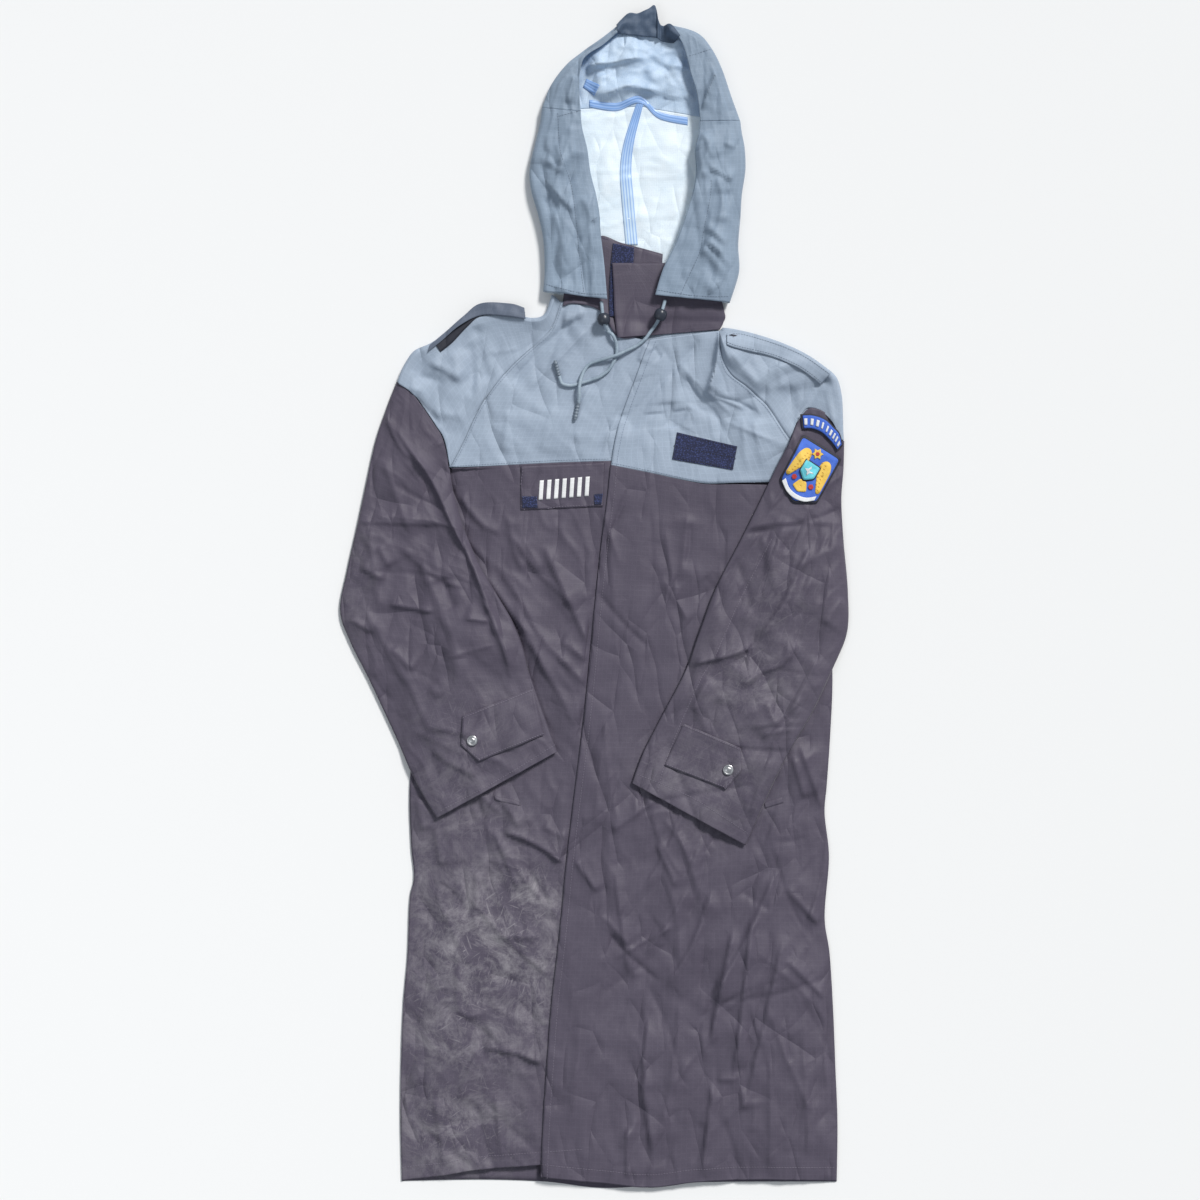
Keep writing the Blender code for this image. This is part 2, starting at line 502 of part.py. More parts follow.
def folded_row(seam, fold, upper, radius, band_steps, floor_end, floor_steps, fold_steps=5):
    """A cloth folded once: from its upper end round the fold and back along the surface."""
    seam, fold, floor_end = Vector(seam), Vector(fold), Vector(floor_end)
    radius = min(radius, 0.42 * (fold - seam).length)
    outward = (fold - seam).normalized()
    turn = fold - outward * (radius + WALL / 2)
    crest = FLOOR_LEVEL + 2 * radius
    points = []
    for i in range(band_steps):
        t = i / band_steps
        place = seam.lerp(turn, t)
        points.append((place.x, place.y, upper + (crest - upper) * t * t))
    for i in range(fold_steps):
        angle = math.pi * (0.5 - i / (fold_steps - 1))
        place = turn + outward * radius * math.cos(angle)
        points.append((place.x, place.y, FLOOR_LEVEL + radius * (1 + math.sin(angle))))
    for i in range(1, floor_steps + 1):
        place = turn.lerp(floor_end, i / floor_steps)
        points.append((place.x, place.y, FLOOR_LEVEL))
    return points


def make_caps():
    for name, rows, gap in (("cap_left", CAP_LEFT, -SEAM_GAP), ("cap_right", CAP_RIGHT, SEAM_GAP)):
        level = front_level if gap < 0 else over_level
        grid = []
        for seam_x, seam_y, fold_x, fold_y in resampled(rows, CAP_ROWS):
            seam = (seam_x + gap, seam_y)
            grid.append(folded_row(seam, (fold_x, fold_y), level(seam_x, seam_y), 0.0055, 5, seam, 2))
        cloth(name, grid, BLUE_CLOTH)


def make_sleeves():
    under = ["back", "front_left", "front_right", "yoke_left", "yoke_right"]
    ring_points = 16
    for name, rows in (("sleeve_left", SLEEVE_LEFT), ("sleeve_right", SLEEVE_RIGHT)):
        grid = []
        for outer_x, outer_y, inner_x, inner_y in resampled(rows, 14):
            outer, inner = Vector((outer_x, outer_y)), Vector((inner_x, inner_y))
            ring = []
            for k in range(ring_points):
                angle = 2 * math.pi * k / ring_points
                place = outer.lerp(inner, (1 - math.cos(angle)) / 2)
                rest = top_of(place.x, place.y, under, 0.022)
                low = FLOOR_LEVEL + (rest + CLEARANCE if rest else 0.0)
                side = math.copysign(abs(math.sin(angle)) ** 0.6, math.sin(angle))
                height = low + SLEEVE_HEIGHT * (0.5 + 0.5 * side)
                if side > 0:
                    height += fold_height(SLEEVE_FOLDS, place.x, place.y) * side
                ring.append((place.x, place.y, height))
            grid.append(ring)
        cloth(name, grid, DARK_CLOTH, closed=True)


def make_hood():
    for name, rows in (("hood_left", HOOD_LEFT), ("hood_right", HOOD_RIGHT)):
        gap = -SEAM_GAP / 2 if rows is HOOD_LEFT else SEAM_GAP / 2
        grid = [
            folded_row(row[:2], row[2:4], HOOD_EDGE_HEIGHT, HOOD_FOLD_RADIUS, 5, (row[4] + gap, row[5]), 4)
            for row in resampled(rows, 13)
        ]
        cloth(name, grid, BLUE_CLOTH)
    grid = []
    for row in resampled(CROWN, 8):
        left_edge, left, right, right_edge, middle = (Vector(row[i:i + 2]) for i in (0, 2, 4, 6, 8))
        start = folded_row(left_edge, left, HOOD_EDGE_HEIGHT, HOOD_FOLD_RADIUS, 3, middle, 3)
        end = folded_row(right_edge, right, HOOD_EDGE_HEIGHT, HOOD_FOLD_RADIUS, 3, middle, 3)
        section = start + end[-2::-1]
        half = len(section) // 2
        lifted = [
            (x, y + SEAM_GAP, z + max(0.0, row[10]) * (1 - abs(i - half) / half))
            for i, (x, y, z) in enumerate(section)
        ]
        grid.append(lifted)
    cloth("hood_crown", grid, BLUE_CLOTH)
    lay("hood_tape_centre", TAPE_CENTRE, PALE_TAPE, ["hood_left", "hood_right"], 3, 6, 0.001, 0.0, 0.0005)
    lay("hood_tape_crown", TAPE_CROWN, PALE_TAPE, ["hood_crown", "hood_left", "hood_right"], 3, 8, 0.001, 0.004, 0.0005)
    lay("hood_brim", BRIM, NAVY_BRIM, ["hood_crown"], 4, 12, TRIM_WALL, 0.012, 0.002)


def make_collar():
    floor = ["hood_left_floor", "hood_right_floor", "yoke_back"]
    for half in ("left", "right"):
        rows = HOOD_LEFT if half == "left" else HOOD_RIGHT
        grid = [[(row.fold_x, row.fold_y, FLOOR_LEVEL), (row.centre_x, row.centre_y, FLOOR_LEVEL)] for row in rows]
        flat = [[Vector(point) for point in row] for row in grid]
        corners = [point for row in flat for point in row]
        faces = [(2 * i, 2 * i + 1, 2 * i + 3, 2 * i + 2) for i in range(len(flat) - 1)]
        laid[f"hood_{half}_floor"] = (BVHTree.FromPolygons(corners, faces), WALL / 2)
    lay("collar_back", COLLAR_BACK, DARK_CLOTH, floor, 7, 4, WALL)
    below = floor + ["collar_back"]
    lay("collar_under", COLLAR_UNDER, DARK_CLOTH, below + ["yoke_left"], 7, 8, WALL, 0.010, 0.001)
    lay("collar_hook", COLLAR_HOOK, NAVY_HOOK, below + ["collar_under"], 4, 6, extra=0.0004)
    lay("collar_over", COLLAR_OVER, DARK_CLOTH, below + ["collar_under", "collar_hook", "yoke_left"], 9, 8, WALL, 0.010, 0.001)


def make_trims():
    lay("chest_flap", CHEST_FLAP, DARK_CLOTH, ["front_left"], 6, 4)
    lay("flap_stripe", FLAP_STRIPE, WHITE_STRIPE, ["front_left", "chest_flap"], 4, 3)
    lay("flap_hook_left", FLAP_HOOK_LEFT, NAVY_HOOK, ["front_left", "chest_flap"], 3, 3, reach=0.004)
    lay("flap_hook_right", FLAP_HOOK_RIGHT, NAVY_HOOK, ["front_left", "chest_flap"], 3, 3, reach=0.004)
    lay("chest_hook", CHEST_HOOK, NAVY_HOOK, ["yoke_right"], 5, 3, stiff=True)
    sleeve = ["sleeve_right", "cap_right", "yoke_right"]
    lay("badge_shield", BADGE_SHIELD, BADGE_BLUE, sleeve, 5, 8, extra=0.001)
    lay("badge_arc", BADGE_ARC, BADGE_BLUE, sleeve, 4, 7, extra=0.001)
    lay("cuff_tab_left", TAB_LEFT, DARK_CLOTH, ["sleeve_left"], 4, 5)
    lay("cuff_tab_right", TAB_RIGHT, DARK_CLOTH, ["sleeve_right"], 4, 5)
    lay("epaulette_left", EPAULETTE_LEFT, BLUE_CLOTH, ["cap_left"], 3, 9, extra=0.001)
    lay("epaulette_right", EPAULETTE_RIGHT, BLUE_CLOTH, ["cap_right", "yoke_right"], 4, 9)
    lay("pocket_welt_left", WELT_LEFT, DARK_CLOTH, ["front_left"], 4, 2, reach=0.004)
    lay("pocket_welt_right", WELT_RIGHT, DARK_CLOTH, ["front_right"], 4, 2, reach=0.004)


def make_snap(name, station, tab):
    """A snap cap: a low cylinder with a rounded edge."""
    build = bmesh.new()
    bmesh.ops.create_cone(build, cap_ends=True, segments=24, radius1=SNAP_RADIUS, radius2=SNAP_RADIUS, depth=SNAP_HEIGHT)
    mesh = bpy.data.meshes.new(name)
    build.to_mesh(mesh)
    build.free()
    piece = bpy.data.objects.new(name, mesh)
    bpy.data.collections[PARTS].objects.link(piece)
    rest = top_of(station.x, station.y, [tab], SNAP_RADIUS)
    piece.location = (station.x, station.y, rest + 2 * SEAM_GAP + SNAP_HEIGHT / 2)
    mesh.materials.append(material(STEEL))
    rounding = piece.modifiers.new("rounded edge", "BEVEL")
    rounding.width = 0.001
    rounding.segments = 2
    rounding.limit_method = "ANGLE"
    return piece


def tube(name, points, radius, finish):
    """A cord as a curve with a round bevel and filled ends."""
    data = bpy.data.curves.new(name, "CURVE")
    data.dimensions = "3D"
    data.bevel_depth = radius
    data.bevel_resolution = 2
    data.use_fill_caps = True
    spline = data.splines.new("POLY")
    spline.points.add(len(points) - 1)
    for target, point in zip(spline.points, points):
        target.co = (*point, 1.0)
    piece = bpy.data.objects.new(name, data)
    bpy.data.collections[PARTS].objects.link(piece)
    data.materials.append(material(finish))
    return piece


def bead(name, before, after):
    """A bored barrel bead, turned about the cord that runs through it."""
    bore = CORD_RADIUS + 0.0019
    half = BEAD_LENGTH / 2
    profile = [(bore, half)]
    for i in range(7):
        angle = math.pi * (0.5 - i / 6)
        profile.append((bore + 0.001 + (BEAD_RADIUS - bore - 0.001) * math.cos(angle), half * math.sin(angle)))
    profile.append((bore, -half))
    mesh = bpy.data.meshes.new(name)
    build = bmesh.new()
    verts = [build.verts.new((x, 0.0, z)) for x, z in profile]
    for a, b in zip(verts, verts[1:] + verts[:1]):
        build.edges.new((a, b))
    build.to_mesh(mesh)
    build.free()
    piece = bpy.data.objects.new(name, mesh)
    bpy.data.collections[PARTS].objects.link(piece)
    mesh.materials.append(material(DARK_PLASTIC))
    turned = piece.modifiers.new("turned", "SCREW")
    turned.steps = turned.render_steps = 20
    turned.use_merge_vertices = True
    turned.merge_threshold = 0.00001
    direction = (after - before).normalized()
    spin = direction.to_track_quat("Z", "Y").to_matrix().to_4x4()
    piece.matrix_world = Matrix.Translation((before + after) / 2) @ spin
    return piece


def make_cords():
    under = ["yoke_left", "yoke_right", "collar_under", "collar_over", "collar_hook"]
    for side, route, tip in (("left", CORD_LEFT, CORD_TIP_LEFT), ("right", CORD_RIGHT, CORD_TIP_RIGHT)):
        placed = []
        for i, point in enumerate(route):
            beaded = i in (1, 2)
            rest = top_of(point.x, point.y, under, 0.009)
            stand = (BEAD_RADIUS if beaded else CORD_RADIUS) + 0.0012
            placed.append((point.x, point.y, rest + stand + point.lift))
        smooth = [Vector(p) for p in resampled(placed, 30)]
        tube(f"drawcord_{side}", smooth, CORD_RADIUS, BLUE_CLOTH)
        bead(f"cord_bead_{side}", Vector(placed[1]), Vector(placed[2]) )
        ends = []
        for station in tip:
            rest = top_of(station.x, station.y, under, 0.004)
            ends.append((station.x, station.y, rest + TIP_RADIUS + 0.0008))
        tube(f"cord_tip_{side}", ends, TIP_RADIUS, DARK_PLASTIC)


def main():
    clear_scene()
    bpy.context.scene.collection.children.link(bpy.data.collections.new(PARTS))
    make_body()
    make_yokes()
    make_caps()
    make_sleeves()
    make_hood()
    make_collar()
    make_trims()
    make_snap("cuff_snap_left", SNAP_LEFT, "cuff_tab_left")
    make_snap("cuff_snap_right", SNAP_RIGHT, "cuff_tab_right")
    make_cords()


main()
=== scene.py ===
"""Looks of the hooded raincoat that lies on its back, sleeves folded down over its fronts.

Metres, +Z up, +Y from the hem to the hood; the tables are in millimetres. Left and right are those of someone
who looks down on the coat. Every cloth is a fine grid on the form of its solid, with its creases pressed in.
"""

import logging
import math
from dataclasses import dataclass, field
from enum import Enum
from typing import Callable, NamedTuple, Optional, Sequence, Union

import bmesh
import bpy
import numpy as np
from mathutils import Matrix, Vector
from mathutils.bvhtree import BVHTree


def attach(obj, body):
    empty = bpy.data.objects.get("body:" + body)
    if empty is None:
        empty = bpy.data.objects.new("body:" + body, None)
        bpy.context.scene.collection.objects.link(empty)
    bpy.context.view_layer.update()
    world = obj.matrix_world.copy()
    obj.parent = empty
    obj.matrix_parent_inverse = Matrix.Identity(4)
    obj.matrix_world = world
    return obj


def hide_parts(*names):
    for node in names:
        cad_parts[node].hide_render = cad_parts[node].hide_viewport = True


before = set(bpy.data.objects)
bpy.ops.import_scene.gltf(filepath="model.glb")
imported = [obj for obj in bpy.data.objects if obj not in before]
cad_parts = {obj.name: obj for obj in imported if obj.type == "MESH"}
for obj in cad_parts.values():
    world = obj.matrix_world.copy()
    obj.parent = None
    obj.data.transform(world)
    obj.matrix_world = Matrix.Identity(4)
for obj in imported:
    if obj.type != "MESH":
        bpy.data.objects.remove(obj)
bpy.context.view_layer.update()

log = logging.getLogger("raincoat")

Array = np.ndarray
Names = Sequence[str]
Piece = bpy.types.Object
Socket = bpy.types.NodeSocket

BODY_NAME = "root"
WALL = 0.0008           # coated nylon with its hems
TAPE_WALL = 0.0002
PATCH_WALL = 0.0006     # an embroidered field
CLEARANCE = 0.0004      # between a piece and what it lies on
SEAM_GAP = 0.00015
FLOOR_LEVEL = 0.00075   # middle of a wall that rests on the surface
LOWEST_FRONT = 0.0019
SIDE_LEVEL = 0.0027
FRONT_LIFT = 0.0062
SIDE_FALL = 0.070
UNDERLAP = 0.050
OVERLAP_STEP = 0.0027
CAP_FOLD_RADIUS = 0.0055
SLEEVE_HEIGHT = 0.0085
HOOD_FOLD_RADIUS = 0.0082
HOOD_EDGE_HEIGHT = 0.021
HOOD_FLOOR_TOP = 0.0035
CORD_RADIUS = 0.0024
CORD_STAND = 0.0006     # between a cord and what it lies on
BEAD_RADIUS = 0.0090
BEAD_LENGTH = 0.0160
LIT_FROM = (0.60, 0.80)  # the side of the coat that faces the softbox


class Side(Enum):
    """Which half of the coat a piece belongs to, seen from above."""

    LEFT = "left"
    RIGHT = "right"


class Held(Enum):
    """How a cut piece is held."""

    LAID = "laid"
    FOLDED = "folded"


class Crease(NamedTuple):
    """A crease pressed into cloth: its line, its reach to each side, its height and its lean.

    A height below zero is a trough, and a lean near 1 or -1 makes one side steep.
    """

    line: tuple
    width: float
    height: float
    lean: float


class Patch(NamedTuple):
    """A soft oval of rubbed dust."""

    x: float
    y: float
    width: float
    length: float
    amount: float


def mm(*rows: tuple) -> Array:
    """Rows of numbers given in millimetres. Each row of a table is x and y of one place or more."""
    return np.array(rows) / 1000


def creases(*rows: tuple) -> list:
    """Creases from rows of numbers.

    Args:
        rows: x and y of two or more points, width and height in millimetres, and lean.

    Returns:
        A crease for each row.
    """
    made = []
    for *ends, width, height, lean in rows:
        line = tuple((x / 1000, y / 1000) for x, y in zip(ends[::2], ends[1::2]))
        made.append(Crease(line, width / 1000, height / 1000, lean))
    return made


def dust(*rows: tuple) -> list:
    """Patches of dust from place and half sizes in millimetres, and amount."""
    return [Patch(*(value / 1000 for value in place), amount) for *place, amount in rows]


# The body: both side seams and the free edge of the right front, from yoke seam to hem
BODY = mm(
    (-203, 179, 22, 185, 308, 158), (-210, 136, 17, 136, 312, 115), (-219, 66, 8, 66, 318, 52),
    (-231, -25, -2, -30, 329, -32), (-244, -116, -10, -116, 333, -110), (-254, -190, -18, -190, 330, -190),
    (-260, -270, -28, -270, 325, -262), (-258, -345, -37, -345, 322, -303),
    (-254, -392, -42, -392, 328, -365), (-260, -425, -46, -435, 322, -447),
    (-263, -501, -53, -501, 329, -500), (-269, -571, -61, -571, 334, -580),
    (-272, -650, -67, -650, 337, -655), (-273, -725, -72, -725, 340, -730),
    (-271, -812, -76, -812, 339, -812),
)
YOKE_SEAM_BACK = mm((-203, 181), (308, 160))
YOKE_SEAM_LEFT = mm((-203, 180), (-63, 188), (75, 192))
YOKE_SEAM_RIGHT = mm((22, 185), (77, 174), (133, 162), (161, 158), (210, 158), (308, 156))
HEM_BACK = mm((-270, -819), (-161, -817), (-70, -820), (18, -829), (147, -821), (339, -820))
HEM_LEFT = mm((-270, -818), (-217, -811), (-161, -802), (-20, -791))
HEM_RIGHT = mm((-76, -812), (20, -822), (80, -827), (147, -819), (241, -816), (339, -819))
NECK_LEFT = mm((-48, 421.5), (-28, 418.5), (7, 411), (31, 370), (125, 352))
NECK_BACK = mm(
    (-50, 412), (-20, 417.5), (0, 414.2), (60, 404), (120, 407.2), (160, 404), (176, 390),
)
# Raglan caps: a row from the raglan seam to the shoulder fold
CAP_LEFT = mm(
    (-203, 182, -277, 303), (-190, 206, -268, 325), (-178, 231, -250, 349), (-166, 257, -222, 360),
    (-147, 288, -196, 381), (-122, 318, -164, 397), (-105, 335, -125, 398), (-85, 353, -92, 392),
    (-62, 375, -72, 396), (-48, 414, -61, 424.5),
)
CAP_RIGHT = mm(
    (273, 220, 349, 220), (264, 233, 348, 245), (254, 249, 347, 270), (242, 267, 342, 303),
    (226, 282, 320, 325), (205, 300, 287, 346), (185, 317, 245, 363), (176, 345, 205, 374),
    (174, 373, 180, 378),
)
ARMHOLE_CORNER = (0.3, 0.1615)
YOKE_LEFT_EDGE = mm(
    (72, 192), (77, 213), (82, 234), (88, 255), (97, 279), (107, 303), (112, 318), (118, 332), (122, 343),
    (125, 352),
)
YOKE_RIGHT_EDGE = mm(
    (22.5, 187), (25, 203), (28, 219), (33, 241), (40, 262), (48, 284), (57, 307), (67, 335), (77, 360),
)
# Flattened sleeves from cap to cuff: outer and inner fold
SLEEVE_LEFT = mm(
    (-277.5, 302, -204, 181), (-290, 270, -199, 150), (-307, 220, -192, 125), (-321, 157, -180, 87),
    (-333, 101, -161, 45), (-347, 38, -137, 3), (-357, -18, -115, -35), (-343, -62, -101, -71),
    (-315, -118, -90, -113), (-280, -193, -73, -161), (-252, -256, -63, -190), (-221, -309, -53, -216),
)
SLEEVE_RIGHT = mm(
    (349, 219, 273, 219), (348, 180, 253, 180), (345, 136, 234, 140), (348, 80, 204, 80),
    (354, 10, 168, 10), (353, -49, 146, -49), (333, -99, 127, -102), (304, -161, 97, -160),
    (268, -222, 72, -208), (240, -280, 61, -234), (210, -347, 52, -260),
)
# The seam between cap and sleeve, from the outer fold to the inner one
SEAM_CAP_LEFT = mm(
    (-277, 303), (-262, 292.6), (-247.2, 275.8), (-224, 242), (-212, 221), (-203.5, 182),
)
SEAM_CAP_RIGHT = mm(
    (349, 219.5), (340, 241), (325, 257), (311, 264), (298, 264), (284, 246), (273, 219.5),
)
# Hood sides: opening edge, side fold and centre seam
HOOD_LEFT = mm(
    (17, 416, -73, 428, 60, 405), (13, 465, -71, 458, 55, 450), (8, 507, -73, 500, 53, 500),
    (6, 535, -80, 535, 49, 535), (1, 563, -90, 570, 45, 568), (-6, 591, -92, 600, 43, 600),
    (-11, 626, -85, 633, 45, 635), (-18, 655, -78, 662, 52, 665), (-20, 678, -75, 684, 63, 688),
)
HOOD_RIGHT = mm(
    (84, 422, 189, 412, 60, 405), (95, 458, 202, 455, 55, 450), (112, 493, 201, 493, 53, 500),
    (125, 528, 204, 531, 49, 535), (136, 563, 206, 563, 45, 568), (141, 591, 211, 598, 43, 600),
    (140, 626, 210, 629, 45, 635), (145, 648, 206, 650, 52, 665), (147, 664, 204, 666, 63, 688),
)
# From left edge, left fold, right fold and right edge to middle, and the rise of the middle
CROWN = mm(
    (-22, 713, -62, 717, 191, 702, 143, 700, 64, 720, 0),
    (-20, 738, -41, 745, 178, 740, 133, 735, 66, 748, 1),
    (-13, 755, -17, 765, 163, 769, 126, 762, 70, 770, 3),
    (12, 772, 12, 785, 144, 789, 118, 780, 73, 789, 5), (31, 788, 34, 802, 108, 801, 104, 790, 71, 803, 7),
)
BRIM = mm(
    (32, 788, 30, 800), (46, 786, 46, 816), (60, 785, 60, 817), (74, 784, 74, 823), (85, 783, 84, 828),
    (89, 781, 89, 806), (95, 778, 95, 800), (103, 776, 106, 800), (110, 776, 119, 784),
)
COLLAR_BACK = mm((-46, 410, 172, 392), (-40, 450, 165, 448))
COLLAR_UNDER = mm(
    (-45, 407, -40, 440), (-28, 411, -18, 462), (7, 401, 4, 505), (31, 365, 36, 497), (60, 364, 66, 489),
    (90, 372, 95, 481),
)
COLLAR_OVER = mm(
    (31, 362.8, 175, 375.5), (29, 380, 180, 385), (27, 400, 182, 398), (26, 430, 166, 430),
    (24, 468, 98, 468),
)
COLLAR_HOOK = mm((20, 393, 52, 393), (20, 440, 53, 440), (25, 496, 55, 490))
CHEST_FLAP = mm((-104, 183, 13, 188), (-104, 122, 11, 127))
FLAP_STRIPE = mm((-81, 163, -6, 169), (-78, 136, -3, 142))
FLAP_HOOK_LEFT = mm((-102, 141, -81.5, 141), (-102, 125, -80, 125))
FLAP_HOOK_RIGHT = mm((-1, 144, 11, 145), (-1, 129, 9, 130))
CHEST_HOOK = mm((115, 231, 199, 211), (111.5, 212, 196, 194.5), (108, 193, 193, 178))
BADGE_ARC = mm(
    (287, 256, 290, 234), (305, 256, 303, 234), (322, 250, 316, 229), (335, 238, 326, 220),
    (342.5, 229, 333.5, 211.5), (347, 212, 338.5, 203.5),
)
TAB_LEFT = mm((-87, -127, -72, -193), (-163, -157, -162, -229), (-185, -166, -187, -206))
TAB_RIGHT = mm((124, -176.5, 97, -235), (184, -202, 183, -268.5), (204, -211, 204, -242))
EPAULETTE_LEFT = mm(
    (-97, 389, -99, 405), (-126, 393, -119, 411), (-160, 394, -160, 411), (-190, 379, -184, 393),
    (-215, 358, -208, 372), (-234, 343, -231, 353),
)
# A near-black strip along the lower edge of the left epaulette: painted shadow for the shaded gap and
# underside where it stands off the shoulder
EPAULETTE_SHADOW_STRIP = mm(
    (-98, 394.5, -98, 399.5), (-126, 394.5, -126, 400), (-160, 393, -160, 400), (-178, 379, -184, 389),
    (-199, 357, -208, 370), (-216, 343, -223, 353),
)
EPAULETTE_RIGHT = mm(
    (184, 352, 184, 368), (200, 347, 203, 371), (242, 338, 247, 359), (266, 329, 276, 348),
    (290, 317, 301, 335), (316, 298, 330, 314),
)
WELT_LEFT = mm((-142, -277.5, -105, -286), (-140, -284, -104, -292))
WELT_RIGHT = mm((236, -288, 262, -280), (238, -296, 264, -288))
TAPE_CENTRE = mm(
    (43, 494, 60, 494), (37, 560, 54, 560), (35, 600, 51, 600), (41, 640, 55, 640), (58.5, 694, 68.5, 694),
)
TAPE_CORNER = mm((-17, 715, -12, 727), (-1, 703, 7, 717))
TAPE_CROWN = mm(
    (-8, 697.5, -8, 687), (30, 693, 30, 682), (63, 702.5, 63, 692.5), (90, 681, 90, 671),
    (130, 673, 130, 662),
)
SNAPS = dict(zip(Side, mm((-171, -200), (186, -241))))
# The way of each cord, and how far it is lifted off what is below
CORD_ROUTES = {
    Side.LEFT: mm(
        (9, 413, 0), (11, 394.5, 0), (13.5, 381.5, 1), (18, 372, 0), (25, 366, 0), (30, 353, 0),
        (30, 339, 0), (25, 327, 0), (18, 317, 0), (6, 308, 0), (-8, 303, 0), (-21, 299, 0), (-34, 296, 0),
        (-46, 299, 0), (-50, 309, 0),
    ),
    Side.RIGHT: mm(
        (98, 415, 0), (94, 401, 1), (89, 388, 1), (84, 380, 0), (78, 372, 0), (70, 361, 0), (59, 352, 0),
        (45, 345, 3), (30, 338, 5.4), (14, 333, 2.5), (0, 329, 0), (-9, 325, 0), (-15, 317, 2),
        (-19, 307, 4.5), (-21, 299, 5.4), (-22, 290, 4.5), (-22, 281, 2), (-23, 272, 0),
    ),
}
CORD_TIPS = {
    Side.LEFT: mm((-50.5, 310.5), (-56, 331)),
    Side.RIGHT: mm((-23.4, 270.3), (-28, 248)),
}
LEFT_FRONT_CREASES = creases(
    (-75, 75, -5, -75, 10, 4, 0.5), (-50, -60, -10, -90, 8, 3, 0.5), (-55, -80, -10, -125, 8, 3.4, 0.4),
    (-90, -60, -25, -185, 12, 3, 0.4), (-166, 42, -139.5, 9, -99, -47, -59, -128, 7, 3.6, 0.5),
    (-192, 147, -164, 106.5, -129, 86, 6, 2.6, 0.5), (-123, 115, -111, 58, -95, 34, 7, 2.2, 0.4),
    (-119, 90, -83, 38, -52.5, 9, -22, -23, 6, 2.6, 0.5),
    (-139.5, 46, -103, -7, -71, -63, -22, -108, 6, 2.8, 0.5), (-60, 110, -5, 30, 8, 2, 0.4),
    (-160, -630, -110, -638, -70, -655, 10, 4, 0.6), (-160, -625, -195, -710, 9, 2.6, 0.3),
    (-145, -475, -75, -475, 10, 2.4, 0.3), (-190, -485, -190, -580, -145, -580, 8, 2.2, 0.3),
    (-150, -275, -125, -292, -105, -325, 9, 3, 0.5), (-135, -325, -85, -345, -40, -375, 10, 4.2, 0.6),
    (-75, -320, -35, -340, 7, 2.4, 0.4), (-250, -280, -240, -330, 8, 2.4, 0.4),
    (-225, -320, -215, -380, 8, 2.2, 0.4), (-145, -320, -105, -415, 11, 2.8, 0.5),
    (-230, -400, -175, -520, 10, 2, 0.4), (-225, -700, -210, -800, 9, 2.2, 0.4),
    (-140, -690, -130, -790, 10, 2.4, 0.4), (-165, -380, -170, -470, 8, 2.2, 0.4),
)
RIGHT_FRONT_CREASES = creases(
    (85, -340, 115, -410, 9, 3.2, 0.4), (-30, -365, 5, -415, 9, 3.2, 0.4), (25, -370, 50, -545, 10, 3, 0.5),
    (10, -445, 50, -490, 8, 2.6, 0.4), (75, -580, 68, -690, 85, -790, 12, 3.6, 0.5),
    (165, -405, 135, -490, 95, -550, 12, 3.6, 0.5), (260, -370, 205, -490, 145, -585, 12, 4, 0.5),
    (195, -455, 160, -630, 11, 4.8, 0.6), (220, -440, 195, -675, 11, 4.8, 0.6),
    (265, -470, 210, -720, 12, 3.6, 0.5), (245, -640, 245, -815, 11, 3, 0.4),
    (200, -660, 210, -720, 8, 2.6, 0.4), (170, -675, 200, -675, 7, 2.4, 0.3),
    (165, -675, 150, -815, 10, 4.2, 0.7), (45, -740, 45, -815, 8, 3.4, 0.6),
    (265, -405, 315, -460, 10, 3.4, 0.5), (265, -505, 325, -565, 10, 3, 0.5),
    (160, -425, 80, -505, -5, -565, 30, -2.6, 0.3), (90, 30, 135, -40, 10, 2, 0.4),
    (275, -220, 295, -285, 9, 3.2, 0.5), (285, -205, 320, -300, 10, 3.4, 0.5),
    (120, -560, 105, -700, 13, 2.6, 0.3), (290, -600, 300, -790, 12, 2.6, 0.4),
    (-20, -560, -35, -760, 14, 2.2, 0.3), (20, 120, 30, -80, 16, 1.8, 0.3),
    (130, 120, 120, 20, 14, 1.8, 0.4), (90, -280, 20, -330, 10, 2.4, 0.4), (10, -200, 0, -330, 14, 2, 0.3),
)
LEFT_YOKE_CREASES = creases(
    (-28, 388, -70, 353, -91, 329, -122, 293, 15, -5.2, 0.3), (-6, 380, -60, 325, -100, 285, 14, 3, 0.3),
    (-168, 388, -161, 353, -147, 297, 9, -3.4, 0.3), (-175, 360, -171, 304, -175, 276, 8, -3, 0.3),
    (-245, 350, -242, 325, -248, 307, 8, -3, 0.3), (-234, 329, -210, 318, -185, 302, 8, 3, 0.5),
    (-256, 307, -238, 308, -210, 304, 7, -2.8, 0.4), (-260, 293, -238, 287, 6, 2.6, 0.3),
    (-230, 259, -182, 251, 7, 2.2, 0.4), (-255, 285, -215, 240, 9, -2.6, 0.3),
    (-45, 385, -12, 398, 6, 3.4, 0.6), (-50, 372, -20, 392, 6, -2.6, 0.4),
    (-120, 265, -130, 200, 12, 2, 0.4), (-60, 270, -75, 200, 14, 1.8, 0.4),
    (-10, 300, -30, 215, 14, 1.8, 0.4), (-200, 345, -190, 300, 10, 2.4, 0.3),
)
